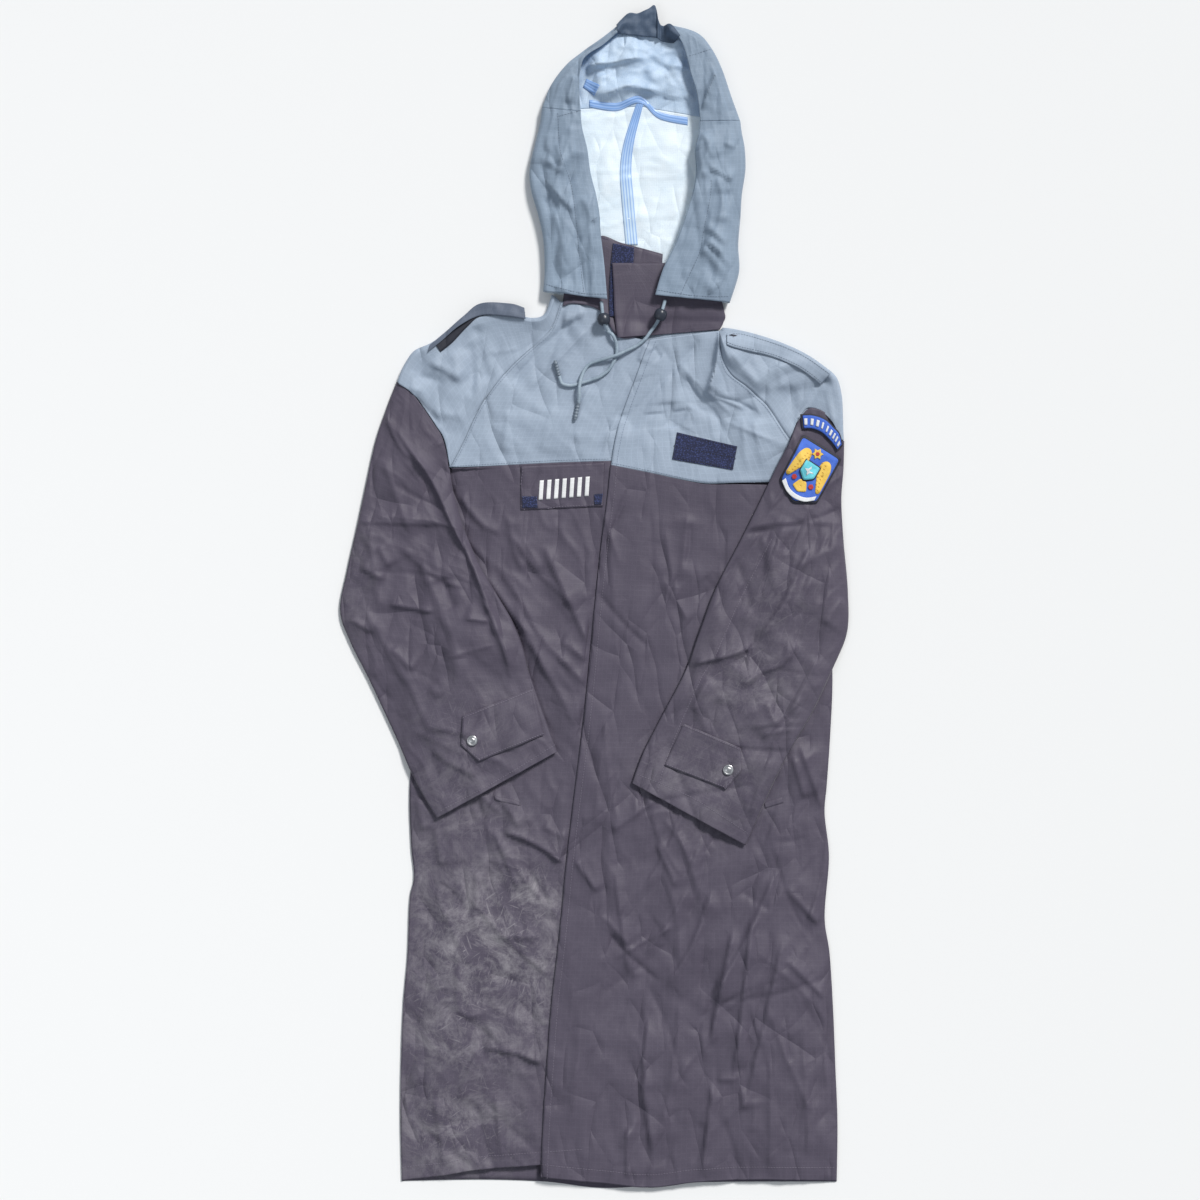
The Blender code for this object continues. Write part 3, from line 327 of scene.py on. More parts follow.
RIGHT_YOKE_CREASES = creases(
    (154, 367, 133, 343, 94, 301, 63, 262, 46, 220, 14, -4.8, 0.3),
    (123, 315, 143, 283, 172, 252, 186, 220, 10, -4, 0.4),
    (151, 284, 175, 279, 203, 272, 231, 256, 8, -3.4, 0.4), (105, 276, 108, 234, 12, -2.6, 0.2),
    (174, 374, 171, 339, 161, 297, 151, 284, 11, 7.6, 0.85), (151, 284, 180, 276, 212, 262, 8, 3, 0.7),
    (186, 345, 215, 310, 240, 280, 10, 2.8, 0.4), (220, 250, 235, 185, 10, 2.4, 0.4),
    (205, 255, 212, 175, 10, 2, 0.4), (60, 330, 70, 355, 6, 2.4, 0.4), (82, 350, 94, 335, 5, -2.2, 0.4),
    (140, 270, 120, 235, 10, 2.2, 0.3), (340, 307, 315, 301, 301, 279, 283, 248, 9, -5.2, 0.5),
    (276, 297, 280, 262, 277, 234, 12, -3.4, 0.2), (255, 330, 262, 290, 12, 2.2, 0.3),
    (325, 300, 330, 260, 336, 240, 10, 2.6, 0.3),
)
LEFT_SLEEVE_CREASES = creases(
    (-290, 252, -259, 206, -228.5, 163, -198, 98, -168, 38, -143.5, -31, -121, -92, -120, -140, 10, 5.8, 0.5),
    (-329, 43, -312, 34, -294, 24, 8, 3.2, 0.4), (-290, -10, -259, -15, -224, -21, 9, 3.6, 0.5),
    (-287, -71, -266, -91, -252, -104, 8, 3, 0.4), (-304, 73, -287, 41, 8, 3, 0.4),
    (-182, -29, -147, -35, 7, 2.6, 0.4), (-231, -126, -217, -140, 7, 2.4, 0.3),
    (-231, -207, -210, -228, -175, -245, -161, -253, 10, 3.4, 0.5), (-300, 200, -255, 80, 16, 3, 0.3),
    (-320, 120, -300, -30, 13, 2.8, 0.4), (-330, 0, -260, -130, 13, 3, 0.4),
    (-250, 60, -200, -60, -190, -130, 14, 3.2, 0.4), (-270, -100, -225, -200, 12, 3, 0.4),
    (-345, -30, -310, -50, 8, 2.8, 0.4), (-215, 30, -195, -20, 9, -3, 0.3),
    (-120, -215, -80, -175, 9, 2.2, 0.4),
)
RIGHT_SLEEVE_CREASES = creases(
    (308, 80, 287, 45, 266, -4, 238, -46, 227, -67, 12, 5.2, 0.6),
    (227, -67, 189, -81, 147, -91, 133, -99, 9, 4.2, 0.5),
    (287, -60, 259, -95, 231, -105, 203, -130, 10, 4.2, 0.5), (238, -144, 252, -179, 8, 2.8, 0.4),
    (335, 120, 325, 20, 310, -60, 14, 3, 0.4), (270, 120, 240, 30, 200, -50, 14, 3.4, 0.4),
    (330, 100, 280, -20, 11, 2.6, 0.4), (290, 110, 262, 60, 10, -3, 0.3), (310, -80, 270, -170, 12, 3, 0.4),
    (290, -140, 230, -200, 11, 2.8, 0.4), (200, -90, 170, -150, 10, 2.6, 0.4),
    (160, -110, 135, -160, 9, 2.4, 0.4), (245, -220, 215, -310, 10, 2.6, 0.4),
    (348, 0, 320, -40, 9, 3, 0.3), (246, 80, 224, 38, 196, -18, 168, -81, 147, -116, 120, -176, 4, -1.6, 0),
)
LEFT_HOOD_CREASES = creases(
    (-84, 619, -42, 591, 8, 3, 0.4), (-77, 587, -50, 560, -28, 535, 10, 3.4, 0.5),
    (-76, 560, -67, 546, -74, 515, 8, -4.6, 0.3), (-60, 545, -45, 500, -34, 440, 11, 3, 0.4),
    (-48, 520, -58, 470, -50, 430, 9, -2.6, 0.3), (-20, 560, 0, 520, 8, 2.2, 0.4),
    (-70, 650, -62, 600, 9, 2.8, 0.4), (-35, 660, -30, 610, 8, 2.2, 0.4),
    (-52, 675, -49, 626, -42, 601, -32, 570, -22, 479, -14, 416, 4, -1.6, 0),
    (-66, 440, -35, 424, 7, 2.6, 0.4),
)
RIGHT_HOOD_CREASES = creases(
    (160, 594, 168, 596, 192, 580, 7, 4, 0.6), (178, 633, 210, 626, 8, 3, 0.4),
    (151, 500, 172, 483, 182, 469, 200, 455, 8, 4.6, 0.6), (150, 517, 166, 508, 185, 490, 7, 3.2, 0.5),
    (145, 490, 165, 470, 190, 440, 9, 3, 0.4), (168, 590, 178, 555, 172, 520, 10, 3.4, 0.4),
    (185, 570, 188, 530, 9, -2.8, 0.3), (130, 460, 120, 430, 9, 2, 0.3), (175, 440, 160, 425, 6, 3, 0.4),
    (150, 650, 165, 610, 10, 2.4, 0.4), (116, 416, 147, 483, 150, 501, 161, 559, 162, 590, 4, -1.6, 0),
)
LINING_CREASES = creases(
    (10, 640, 30, 560, 16, 2, 0.4), (30, 640, 10, 600, 18, 545, 10, 2, 0.3),
    (80, 620, 120, 600, 10, 2, 0.3), (60, 550, 95, 480, 12, 1.8, 0.3), (40, 600, 62, 520, 6, 1.2, 0.3),
)
CROWN_CREASES = creases(
    (-16, 742, 14, 746, 49, 752, 72, 755, 13, 15, 0.6), (2, 697, 30, 710, 53, 714, 94, 706, 12, 12, 0.6),
    (94, 704, 120, 700, 140, 704, 8, 5, 0.6), (0, 700, 10, 735, 7, 5, 0.6),
    (70, 745, 82, 722, 95, 735, 6, 4.6, 0.5), (95, 738, 110, 712, 7, 4.2, 0.5),
    (80, 760, 100, 745, 130, 742, 7, 4.2, 0.5), (30, 770, 80, 765, 12, 3, 0.4),
)
CROWN_BAND_CREASES = creases(
    (149, 678, 160, 712, 176, 748, 6, 5, 0.7), (-60, 700, -35, 745, 0, 775, 10, 3, 0.4),
    (-40, 690, -28, 730, 8, 2.6, 0.4), (185, 700, 165, 750, 9, 2.8, 0.4),
)
DUST = dust(
    (-155, -500, 110, 120, 0.9), (-110, -430, 70, 60, 0.9), (-90, -540, 60, 90, 0.8),
    (-190, -600, 90, 80, 0.7), (-200, -740, 80, 70, 0.75), (-240, -420, 40, 100, 0.5),
    (-170, -320, 70, 60, 0.35), (215, -120, 60, 60, 0.45), (180, -250, 60, 60, 0.4),
    (255, -10, 50, 90, 0.3), (-180, -190, 70, 60, 0.3), (-200, -260, 60, 50, 0.35),
    (-340, 50, 30, 120, 0.25), (110, -240, 50, 40, 0.35),
)


@dataclass(frozen=True)
class ClothFinish:
    """A woven cloth: colours in linear light, gloss, thread and wear."""

    name: str
    colour: tuple
    worn: tuple
    roughness: float = 0.60
    sheen: float = 0.10
    thread: float = 0.0011
    weave_depth: float = 0.35
    crumple: float = 0.3
    folds: float = 0.6
    dust: float = 0.0


@dataclass(frozen=True)
class TapeFinish:
    """Heat-sealed seam tape: darker stripes along it, and paler towards the neck; this change from deep blue
    to pale is painted shade of the hood's depth.
    """

    name: str
    stripe: tuple
    film: tuple
    pale: tuple
    stripe_pitch: float = 0.0036


@dataclass(frozen=True)
class HardFinish:
    """A moulded or metal finish with fine scratches."""

    name: str
    colour: tuple
    roughness: float
    metallic: float = 0.0
    grain: float = 900.0


@dataclass(frozen=True)
class HookFinish:
    """Hook-and-loop tape: a dense pile of curled threads."""

    name: str
    colour: tuple
    tip_colour: tuple
    pile: float = 0.0022


Finish = Union[ClothFinish, TapeFinish, HardFinish, HookFinish]

DARK = ClothFinish("dark_cloth", (0.078, 0.066, 0.096), (0.09, 0.077, 0.11), roughness=0.56, folds=0.95,
                   dust=1.0)
BLUE = ClothFinish("blue_cloth", (0.305, 0.367, 0.46), (0.348, 0.417, 0.515), folds=0.9)
HOOD_BLUE = ClothFinish("hood_cloth", (0.225, 0.29, 0.378), (0.268, 0.341, 0.436), folds=1.0)
# A darker copy of the blue cloth for the left epaulette: painted shade, as it faces away from the light
SHADED_BLUE = ClothFinish("epaulette_shaded_cloth", (0.095, 0.118, 0.165), (0.13, 0.155, 0.212))
# Near black: painted shadow, for the strip under the left epaulette
PAINTED_SHADOW = ClothFinish("painted_shadow", (0.018, 0.02, 0.03), (0.03, 0.032, 0.045))
LINING = ClothFinish("lining", (0.76, 0.87, 0.96), (0.83, 0.91, 0.97), roughness=0.42, thread=0.0004)
# A darker, bluer copy of the lining for the crown: painted shade of the hood's deep crown, with some blue
# from the lining lying double there
SHADED_CROWN_LINING = ClothFinish("crown_lining_painted_shade", (0.4, 0.53, 0.71), (0.59, 0.71, 0.85), 0.42, thread=0.0004,
                           folds=1.0)
BRIM_CLOTH = ClothFinish("brim_cloth", (0.055, 0.085, 0.14), (0.09, 0.125, 0.185))
# Film and stripe deepen towards the crown, away from the pale near the neck: painted shade of the hood's
# depth
TAPE = TapeFinish("seam_tape", (0.19, 0.35, 0.71), (0.33, 0.505, 0.83), (0.64, 0.79, 0.94))
STRIPE = ClothFinish("reflective_white", (0.78, 0.78, 0.79), (0.84, 0.84, 0.85), roughness=0.3,
                     weave_depth=0.1)
BADGE = ClothFinish("badge_blue", (0.05, 0.13, 0.56), (0.08, 0.18, 0.66), roughness=0.7, thread=0.0009)
GOLD = ClothFinish("badge_gold", (0.78, 0.48, 0.07), (0.86, 0.6, 0.13), thread=0.0009)
CYAN = ClothFinish("badge_cyan", (0.12, 0.56, 0.66), (0.2, 0.66, 0.74), thread=0.0009)
RED = ClothFinish("badge_red", (0.48, 0.04, 0.035), (0.56, 0.07, 0.06), thread=0.0009)
THREAD_GOLD = ClothFinish("thread_gold", (0.42, 0.2, 0.03), (0.52, 0.27, 0.05), thread=0.0009)
BADGE_WHITE = ClothFinish("badge_white", (0.72, 0.74, 0.76), (0.8, 0.81, 0.82), thread=0.0009)
BADGE_BLACK = ClothFinish("badge_black", (0.018, 0.018, 0.03), (0.035, 0.035, 0.05), thread=0.0009)
CORD_CLOTH = ClothFinish("cord", (0.23, 0.3, 0.37), (0.38, 0.46, 0.54), thread=0.0016, weave_depth=1.0)
THREAD_DARK = ClothFinish("thread_dark", (0.15, 0.13, 0.175), (0.19, 0.17, 0.215))
THREAD_BLUE = ClothFinish("thread_blue", (0.105, 0.135, 0.185), (0.15, 0.185, 0.24))
THREAD_YOKE = ClothFinish("thread_yoke", (0.19, 0.235, 0.31), (0.24, 0.29, 0.37))
HOOK = HookFinish("hook_tape", (0.012, 0.016, 0.05), (0.045, 0.062, 0.19))
STEEL = HardFinish("snap_steel", (0.56, 0.56, 0.57), 0.28, 1.0)
PLASTIC = HardFinish("dark_plastic", (0.03, 0.036, 0.052), 0.3)
TIP_PLASTIC = HardFinish("tip_plastic", (0.17, 0.21, 0.26), 0.4)
DUST_COLOUR = (0.46, 0.44, 0.46)


class Wiring:
    """Adds linked nodes to one tree."""

    def __init__(self, tree: bpy.types.NodeTree) -> None:
        """Starts on a tree."""
        self.tree = tree

    def feed(self, socket: Socket, value: object) -> None:
        """Links a socket to another one, or sets its value.

        Args:
            socket: what is fed.
            value: another socket or a plain value.
        """
        if isinstance(value, Socket):
            self.tree.links.new(value, socket)
        else:
            socket.default_value = value

    def node(self, kind: str, inputs: Optional[dict] = None, **settings) -> bpy.types.Node:
        """Adds a node.

        Args:
            kind: Blender's type name.
            inputs: a value or an output socket for each named or numbered input.
            settings: the node's own properties.

        Returns:
            The new node.
        """
        made = self.tree.nodes.new(kind)
        for name, value in settings.items():
            setattr(made, name, value)
        for name, value in (inputs or {}).items():
            self.feed(made.inputs[name], value)
        return made

    def math(self, operation: str, *values) -> Socket:
        """One Math node's result."""
        return self.node("ShaderNodeMath", dict(enumerate(values)), operation=operation).outputs[0]

    def noise(self, place: object, scale: object, detail: float = 2.0, roughness: float = 0.5,
              distortion: float = 0.0) -> bpy.types.Node:
        """A Noise Texture node."""
        return self.node("ShaderNodeTexNoise", {"Vector": place, "Scale": scale, "Detail": detail,
                                                "Roughness": roughness, "Distortion": distortion})

    def ramp(self, value: object, low: float, high: float, start: float = 0.0, end: float = 1.0
             ) -> Socket:
        """A value between low and high, taken over to start and end, and held there."""
        return self.node("ShaderNodeMapRange", {0: value, 1: low, 2: high, 3: start, 4: end}).outputs[0]

    def scaled(self, vector: object, factor: object) -> Socket:
        """A vector or colour times a factor."""
        return self.node("ShaderNodeVectorMath", {0: vector, "Scale": factor}, operation="SCALE").outputs[0]

    def mix(self, factor: object, first: object, second: object) -> Socket:
        """A colour between two others, each a socket or linear red, green and blue.

        Args:
            factor: the share of the second.
            first: one colour.
            second: the other.

        Returns:
            The mixed colour.
        """
        ends = [(*end, 1.0) if isinstance(end, tuple) else end for end in (first, second)]
        given = {"Factor": factor, 6: ends[0], 7: ends[1]}
        return self.node("ShaderNodeMix", given, data_type="RGBA").outputs[2]

    def bump(self, height: object, strength: float, distance: float, **normal) -> Socket:
        """The normal of a Bump node, on top of another one where Normal is given."""
        inputs = {"Strength": strength, "Distance": distance, "Height": height, **normal}
        return self.node("ShaderNodeBump", inputs).outputs[0]


def group(name: str, inputs: Names, outputs: Names) -> tuple:
    """Starts a shader group.

    Args:
        name: the group's name.
        inputs: what it takes besides Vector, all of them floats.
        outputs: the floats that it gives.

    Returns:
        Its wiring, the output sockets of its input node and the input sockets of its output node.
    """
    tree = bpy.data.node_groups.new(name, "ShaderNodeTree")
    tree.interface.new_socket("Vector", in_out="INPUT", socket_type="NodeSocketVector")
    for way, names in (("INPUT", inputs), ("OUTPUT", outputs)):
        for socket in names:
            tree.interface.new_socket(socket, in_out=way, socket_type="NodeSocketFloat")
    return Wiring(tree), tree.nodes.new("NodeGroupInput").outputs, tree.nodes.new("NodeGroupOutput").inputs


def folds_group() -> bpy.types.NodeTree:
    """Fine straight fold lines of a stiff cloth that was packed, uneven from place to place.

    Returns:
        The group.
    """
    wire, given, result = group("packed_folds", (), ("Height",))
    total = 0.0
    for turn, scale, width, share in ((0.25, 13.0, 0.16, 1.0), (-0.55, 27.0, 0.20, 0.5)):
        warp = wire.scaled(wire.noise(given[0], 9.0, 1.0).outputs["Color"], 0.03)
        moved = wire.node("ShaderNodeVectorMath", {0: given[0], 1: warp}, operation="ADD").outputs[0]
        slid = wire.node("ShaderNodeMapping",
                         {"Vector": moved, "Rotation": (0, 0, turn), "Scale": (1, 0.42, 0)})
        cells = wire.node("ShaderNodeTexVoronoi", {"Vector": slid.outputs[0], "Scale": scale},
                          feature="DISTANCE_TO_EDGE", voronoi_dimensions="2D")
        near = wire.ramp(cells.outputs["Distance"], 0.0, width, 1.0, 0.0)
        dip = wire.math("MULTIPLY", wire.math("POWER", near, 2.0), -1.0)
        mask = wire.ramp(wire.noise(moved, 0.8 * scale, 1.0).outputs[0], 0.42, 0.66, 0.0, share)
        total = wire.math("ADD", total, wire.math("MULTIPLY", dip, mask))
    wire.feed(result["Height"], total)
    return wire.tree


def weave_group() -> bpy.types.NodeTree:
    """Ripstop: plain threads, and a thicker one at every sixth.

    Returns:
        The group.
    """
    wire, given, result = group("ripstop_weave", ("Thread",), ("Height", "Tint"))
    split = wire.node("ShaderNodeSeparateXYZ", {0: given["Vector"]})
    turns = wire.math("DIVIDE", 2 * math.pi, given["Thread"])
    waves, ribs = [], []
    for axis in ("X", "Y"):
        phase = wire.math("MULTIPLY", split.outputs[axis], turns)
        waves.append(wire.math("SINE", phase))
        slow = wire.math("COSINE", wire.math("DIVIDE", phase, 6.0))
        ribs.append(wire.math("POWER", wire.math("MAXIMUM", slow, 0.0), 8.0))
    plain = wire.math("MULTIPLY", wire.math("MULTIPLY", *waves), 0.5)
    height = wire.math("ADD", plain, wire.math("MAXIMUM", *ribs))
    wire.feed(result["Height"], height)
    wire.feed(result["Tint"], wire.ramp(height, -0.5, 1.0, 0.93, 1.06))
    return wire.tree


def wear_group() -> bpy.types.NodeTree:
    """Uneven dye: a paler tone in broad random patches, finely speckled.

    Returns:
        The group.
    """
    wire, given, result = group("uneven_dye", ("Size",), ("Mask",))
    broad = wire.noise(given["Vector"], wire.math("DIVIDE", 1.0, given["Size"]), 5.0, 0.62).outputs[0]
    fine = wire.noise(given["Vector"], 620.0, 1.0).outputs[0]
    mixed = wire.math("ADD", wire.math("MULTIPLY", broad, 0.7), wire.math("MULTIPLY", fine, 0.3))
    wire.feed(result["Mask"], wire.ramp(mixed, 0.36, 0.66))
    return wire.tree


def dust_group() -> bpy.types.NodeTree:
    """Rubbed dust: blotches, with fine scratches in four directions.

    Returns:
        The group.
    """
    wire, given, result = group("rubbed_dust", ("Amount",), ("Mask",))
    total = wire.ramp(wire.noise(given["Vector"], 20.0, 12.0, 0.80, 0.5).outputs[0], 0.45, 0.72, 0.0, 0.85)
    lines = ((0.6, 330.0, 0.66), (1.25, 420.0, 0.66), (-0.35, 360.0, 0.67), (1.9, 300.0, 0.67))
    for turn, scale, cut in lines:
        placed = {"Vector": given["Vector"], "Rotation": (0, 0, turn), "Scale": (14, 1, 1)}
        slid = wire.node("ShaderNodeMapping", placed, vector_type="TEXTURE").outputs[0]
        streak = wire.noise(slid, scale, 3.0, distortion=0.4).outputs[0]
        total = wire.math("MAXIMUM", total, wire.ramp(streak, cut - 0.04, cut + 0.06, 0.0, 0.42))
    wire.feed(result["Mask"], wire.math("MINIMUM", wire.math("MULTIPLY", total, given["Amount"]), 0.85))
    return wire.tree


class ShaderBench:
    """Makes each material and each shared node group once."""

    def __init__(self) -> None:
        """Builds the shared groups."""
        self.made: dict[str, bpy.types.Material] = {}
        self.folds = folds_group()
        self.weave = weave_group()
        self.wear = wear_group()
        self.dust = dust_group()

    def material(self, finish: Finish) -> bpy.types.Material:
        """The material of a finish, made the first time that it is asked for.

        Args:
            finish: the finish.

        Returns:
            The material.
        """
        if finish.name not in self.made:
            made = bpy.data.materials.new(finish.name)
            made.use_nodes = True
            self.made[finish.name] = made
            makers = {ClothFinish: self._cloth, TapeFinish: self._tape, HookFinish: self._hook,
                      HardFinish: self._hard}
            wire = Wiring(made.node_tree)
            place = wire.node("ShaderNodeTexCoord").outputs["Object"]
            for name, value in makers[type(finish)](finish, wire, place).items():
                wire.feed(made.node_tree.nodes["Principled BSDF"].inputs[name], value)
        return self.made[finish.name]

    def _cloth(self, finish: ClothFinish, wire: Wiring, place: Socket) -> dict:
        """What the shader of a cloth is fed with, by input name.

        Args:
            finish: the finish.
            wire: what wires the material's nodes.
            place: the socket of the place on the piece.

        Returns:
            Values and sockets, by the name of the input.
        """
        threads = wire.node("ShaderNodeUVMap", uv_map="cloth").outputs[0]
        weave = wire.node("ShaderNodeGroup", node_tree=self.weave)
        wire.feed(weave.inputs["Vector"], threads)
        wire.feed(weave.inputs["Thread"], finish.thread)
        wear = wire.node("ShaderNodeGroup", node_tree=self.wear)
        wire.feed(wear.inputs["Vector"], place)
        wire.feed(wear.inputs["Size"], 0.045)
        shown = wire.scaled(wire.mix(wear.outputs[0], finish.colour, finish.worn), weave.outputs["Tint"])
        if finish.dust:
            amount = wire.node("ShaderNodeAttribute", attribute_name="dust")
            dusty = wire.node("ShaderNodeGroup", node_tree=self.dust)
            wire.feed(dusty.inputs["Vector"], place)
            wire.feed(dusty.inputs["Amount"], amount.outputs["Fac"])
            shown = wire.mix(dusty.outputs[0], shown, DUST_COLOUR)
        folds = wire.node("ShaderNodeGroup", node_tree=self.folds)
        wire.feed(folds.inputs[0], place)
        soft = wire.bump(wire.noise(place, 75.0, 4.0, 0.55).outputs[0], finish.crumple, 0.0016)
        folded = wire.bump(folds.outputs[0], finish.folds, 0.0036, Normal=soft)
        woven = wire.bump(weave.outputs["Height"], finish.weave_depth, 0.00016, Normal=folded)
        rough = wire.ramp(wear.outputs[0], 0.0, 1.0, finish.roughness - 0.06, finish.roughness + 0.08)
        return {"Base Color": shown, "Roughness": rough, "Sheen Weight": finish.sheen, "Sheen Roughness": 0.4,
                "Specular IOR Level": 0.35, "Normal": woven}

    def _tape(self, finish: TapeFinish, wire: Wiring, place: Socket) -> dict:
        """What the shader of seam tape is fed with.

        Args:
            finish: the finish.
            wire: what wires the material's nodes.
            place: the socket of the place on the piece.

        Returns:
            Values and sockets, by the name of the input.
        """
        flat = wire.node("ShaderNodeUVMap", uv_map="cloth").outputs[0]
        across = wire.node("ShaderNodeSeparateXYZ", {0: flat}).outputs["X"]
        wave = wire.math("COSINE", wire.math("MULTIPLY", across, 2 * math.pi / finish.stripe_pitch))
        uneven = wire.noise(place, 55.0, 4.0).outputs[0]
        spread = wire.ramp(wire.math("ADD", wave, wire.math("MULTIPLY", uneven, 1.4)), 0.6, 1.5)
        # Deeper blue towards the crown and paler towards the neck: painted shade of the hood's depth
        fade = wire.ramp(wire.node("ShaderNodeSeparateXYZ", {0: place}).outputs["Y"], 0.56, 0.665)
        film = wire.mix(fade, finish.pale, finish.film)
        return {"Base Color": wire.mix(spread, film, wire.mix(fade, finish.film, finish.stripe)),
                "Roughness": wire.ramp(uneven, 0.0, 1.0, 0.22, 0.42),
                "Normal": wire.bump(spread, 0.3, 0.0004)}

    def _hook(self, finish: HookFinish, wire: Wiring, place: Socket) -> dict:
        """What the shader of hook-and-loop tape is fed with.

        Args:
            finish: the finish.
            wire: what wires the material's nodes.
            place: the socket of the place on the piece.

        Returns:
            Values and sockets, by the name of the input.
        """
        cells = wire.node("ShaderNodeTexVoronoi", {"Vector": place, "Scale": 1.0 / finish.pile})
        gap = wire.math("SUBTRACT", 1.0, cells.outputs["Distance"])
        tips = wire.math("MULTIPLY", gap, wire.noise(place, 900.0, 3.0).outputs[0])
        colour = wire.mix(wire.ramp(tips, 0.22, 0.46), finish.colour, finish.tip_colour)
        return {"Base Color": colour, "Roughness": 0.95, "Sheen Weight": 0.4,
                "Normal": wire.bump(tips, 0.9, 0.0012)}

    def _hard(self, finish: HardFinish, wire: Wiring, place: Socket) -> dict:
        """What the shader of a moulded or metal piece is fed with.

        Args:
            finish: the finish.
            wire: what wires the material's nodes.
            place: the socket of the place on the piece.

        Returns:
            Values and sockets, by the name of the input.
        """
        grain = wire.noise(place, finish.grain, 3.0).outputs[0]
        return {"Base Color": wire.scaled(finish.colour, wire.ramp(grain, 0.0, 1.0, 0.85, 1.15)),
                "Roughness": wire.ramp(grain, 0.0, 1.0, finish.roughness - 0.08, finish.roughness + 0.12),
                "Metallic": finish.metallic, "Normal": wire.bump(grain, 0.25, 0.0002)}


def eased(value: Array) -> Array:
    """A smooth step from 0 to 1."""
    value = np.clip(value, 0.0, 1.0)
    return value * value * (3 - 2 * value)


def walked(points: Array) -> Array:
    """The length of the way from the first point to each."""
    return np.concatenate([[0.0], np.cumsum(np.linalg.norm(np.diff(points, axis=0), axis=1))])


def smooth_rows(rows: Sequence, count: int) -> Array:
    """Reads rows of numbers at even places on a smooth curve through them.

    Args:
        rows: the rows.
        count: how many to read.

    Returns:
        An array of count rows.
    """
    rows = np.asarray(rows, float)
    last = len(rows) - 1
    place = np.linspace(0, last, count)
    i = np.minimum(place.astype(int), last - 1)
    t = (place - i)[:, None]
    a, b, c, d = (rows[np.clip(i + k, 0, last)] for k in (-1, 0, 1, 2))
    return 0.5 * (2 * b + (c - a) * t + (2 * a - 5 * b + 4 * c - d) * t**2 + (3 * b - a - 3 * c + d) * t**3)


def straight_rows(rows: Array, count: int) -> Array:
    """Reads rows of numbers at even steps on straight lines between them.

    Args:
        rows: the rows.
        count: how many to read.

    Returns:
        The rows that were read.
    """
    rows = np.asarray(rows, float)
    ways = walked((rows[:, :2] + rows[:, 2:]) / 2)
    places = np.linspace(0, ways[-1], count)
    return np.stack([np.interp(places, ways, column) for column in rows.T], axis=1)


def across_rows(rows: Array, u: Array) -> tuple:
    """The x and y of places at share u of the way from each row's start to its end."""
    return tuple(rows[:, [k]] + (rows[:, [k + 2]] - rows[:, [k]]) * u for k in (0, 1))


def line(stations: Array, x: Array) -> Array:
    """The y of a line across the coat at each x."""
    smooth = smooth_rows(stations, 60)
    return np.interp(x, smooth[:, 0], smooth[:, 1])


def fly_x(y: Array) -> Array:
    """The free edge of the right front and yoke at each height."""
    smooth = smooth_rows(np.vstack([YOKE_RIGHT_EDGE[::-1], BODY[:, 2:4]]), 200)
    return np.interp(-y, -smooth[:, 1], smooth[:, 0])


def side_distance(x: Array, y: Array) -> Array:
    """How far each point is inside the nearer side seam.

    Args:
        x, y: the places.

    Returns:
        Distances, below zero outside.
    """
    smooth = smooth_rows(BODY, 200)
    left = np.interp(-y, -smooth[:, 1], smooth[:, 0])
    right = np.interp(-y, -smooth[:, 5], smooth[:, 4])
    return np.minimum(x - left, right - x)


def lattice_noise(x: Array, y: Array, cell: float, seed: int) -> Array:
    """Smooth noise from -1 to 1.

    Args:
        x, y: where it is read.
        cell: the size of its cells.
        seed: fixes the pattern.

    Returns:
        The noise at each point.
    """
    angles = np.random.default_rng(seed).uniform(0, 2 * math.pi, (128, 128))
    across, down = (0.80 * x + 0.60 * y) / cell, (0.80 * y - 0.60 * x) / cell
    i, j = np.floor(across).astype(int), np.floor(down).astype(int)
    f, g = across - i, down - j
    s, t = (part**3 * (part * (6 * part - 15) + 10) for part in (f, g))
    total = 0.0
    for a, share_a in ((0, 1 - s), (1, s)):
        for b, share_b in ((0, 1 - t), (1, t)):
            angle = angles[(i + a) % 128, (j + b) % 128]
            total = total + share_a * share_b * (np.cos(angle) * (f - a) + np.sin(angle) * (g - b))
    return np.clip(1.7 * total, -1, 1)


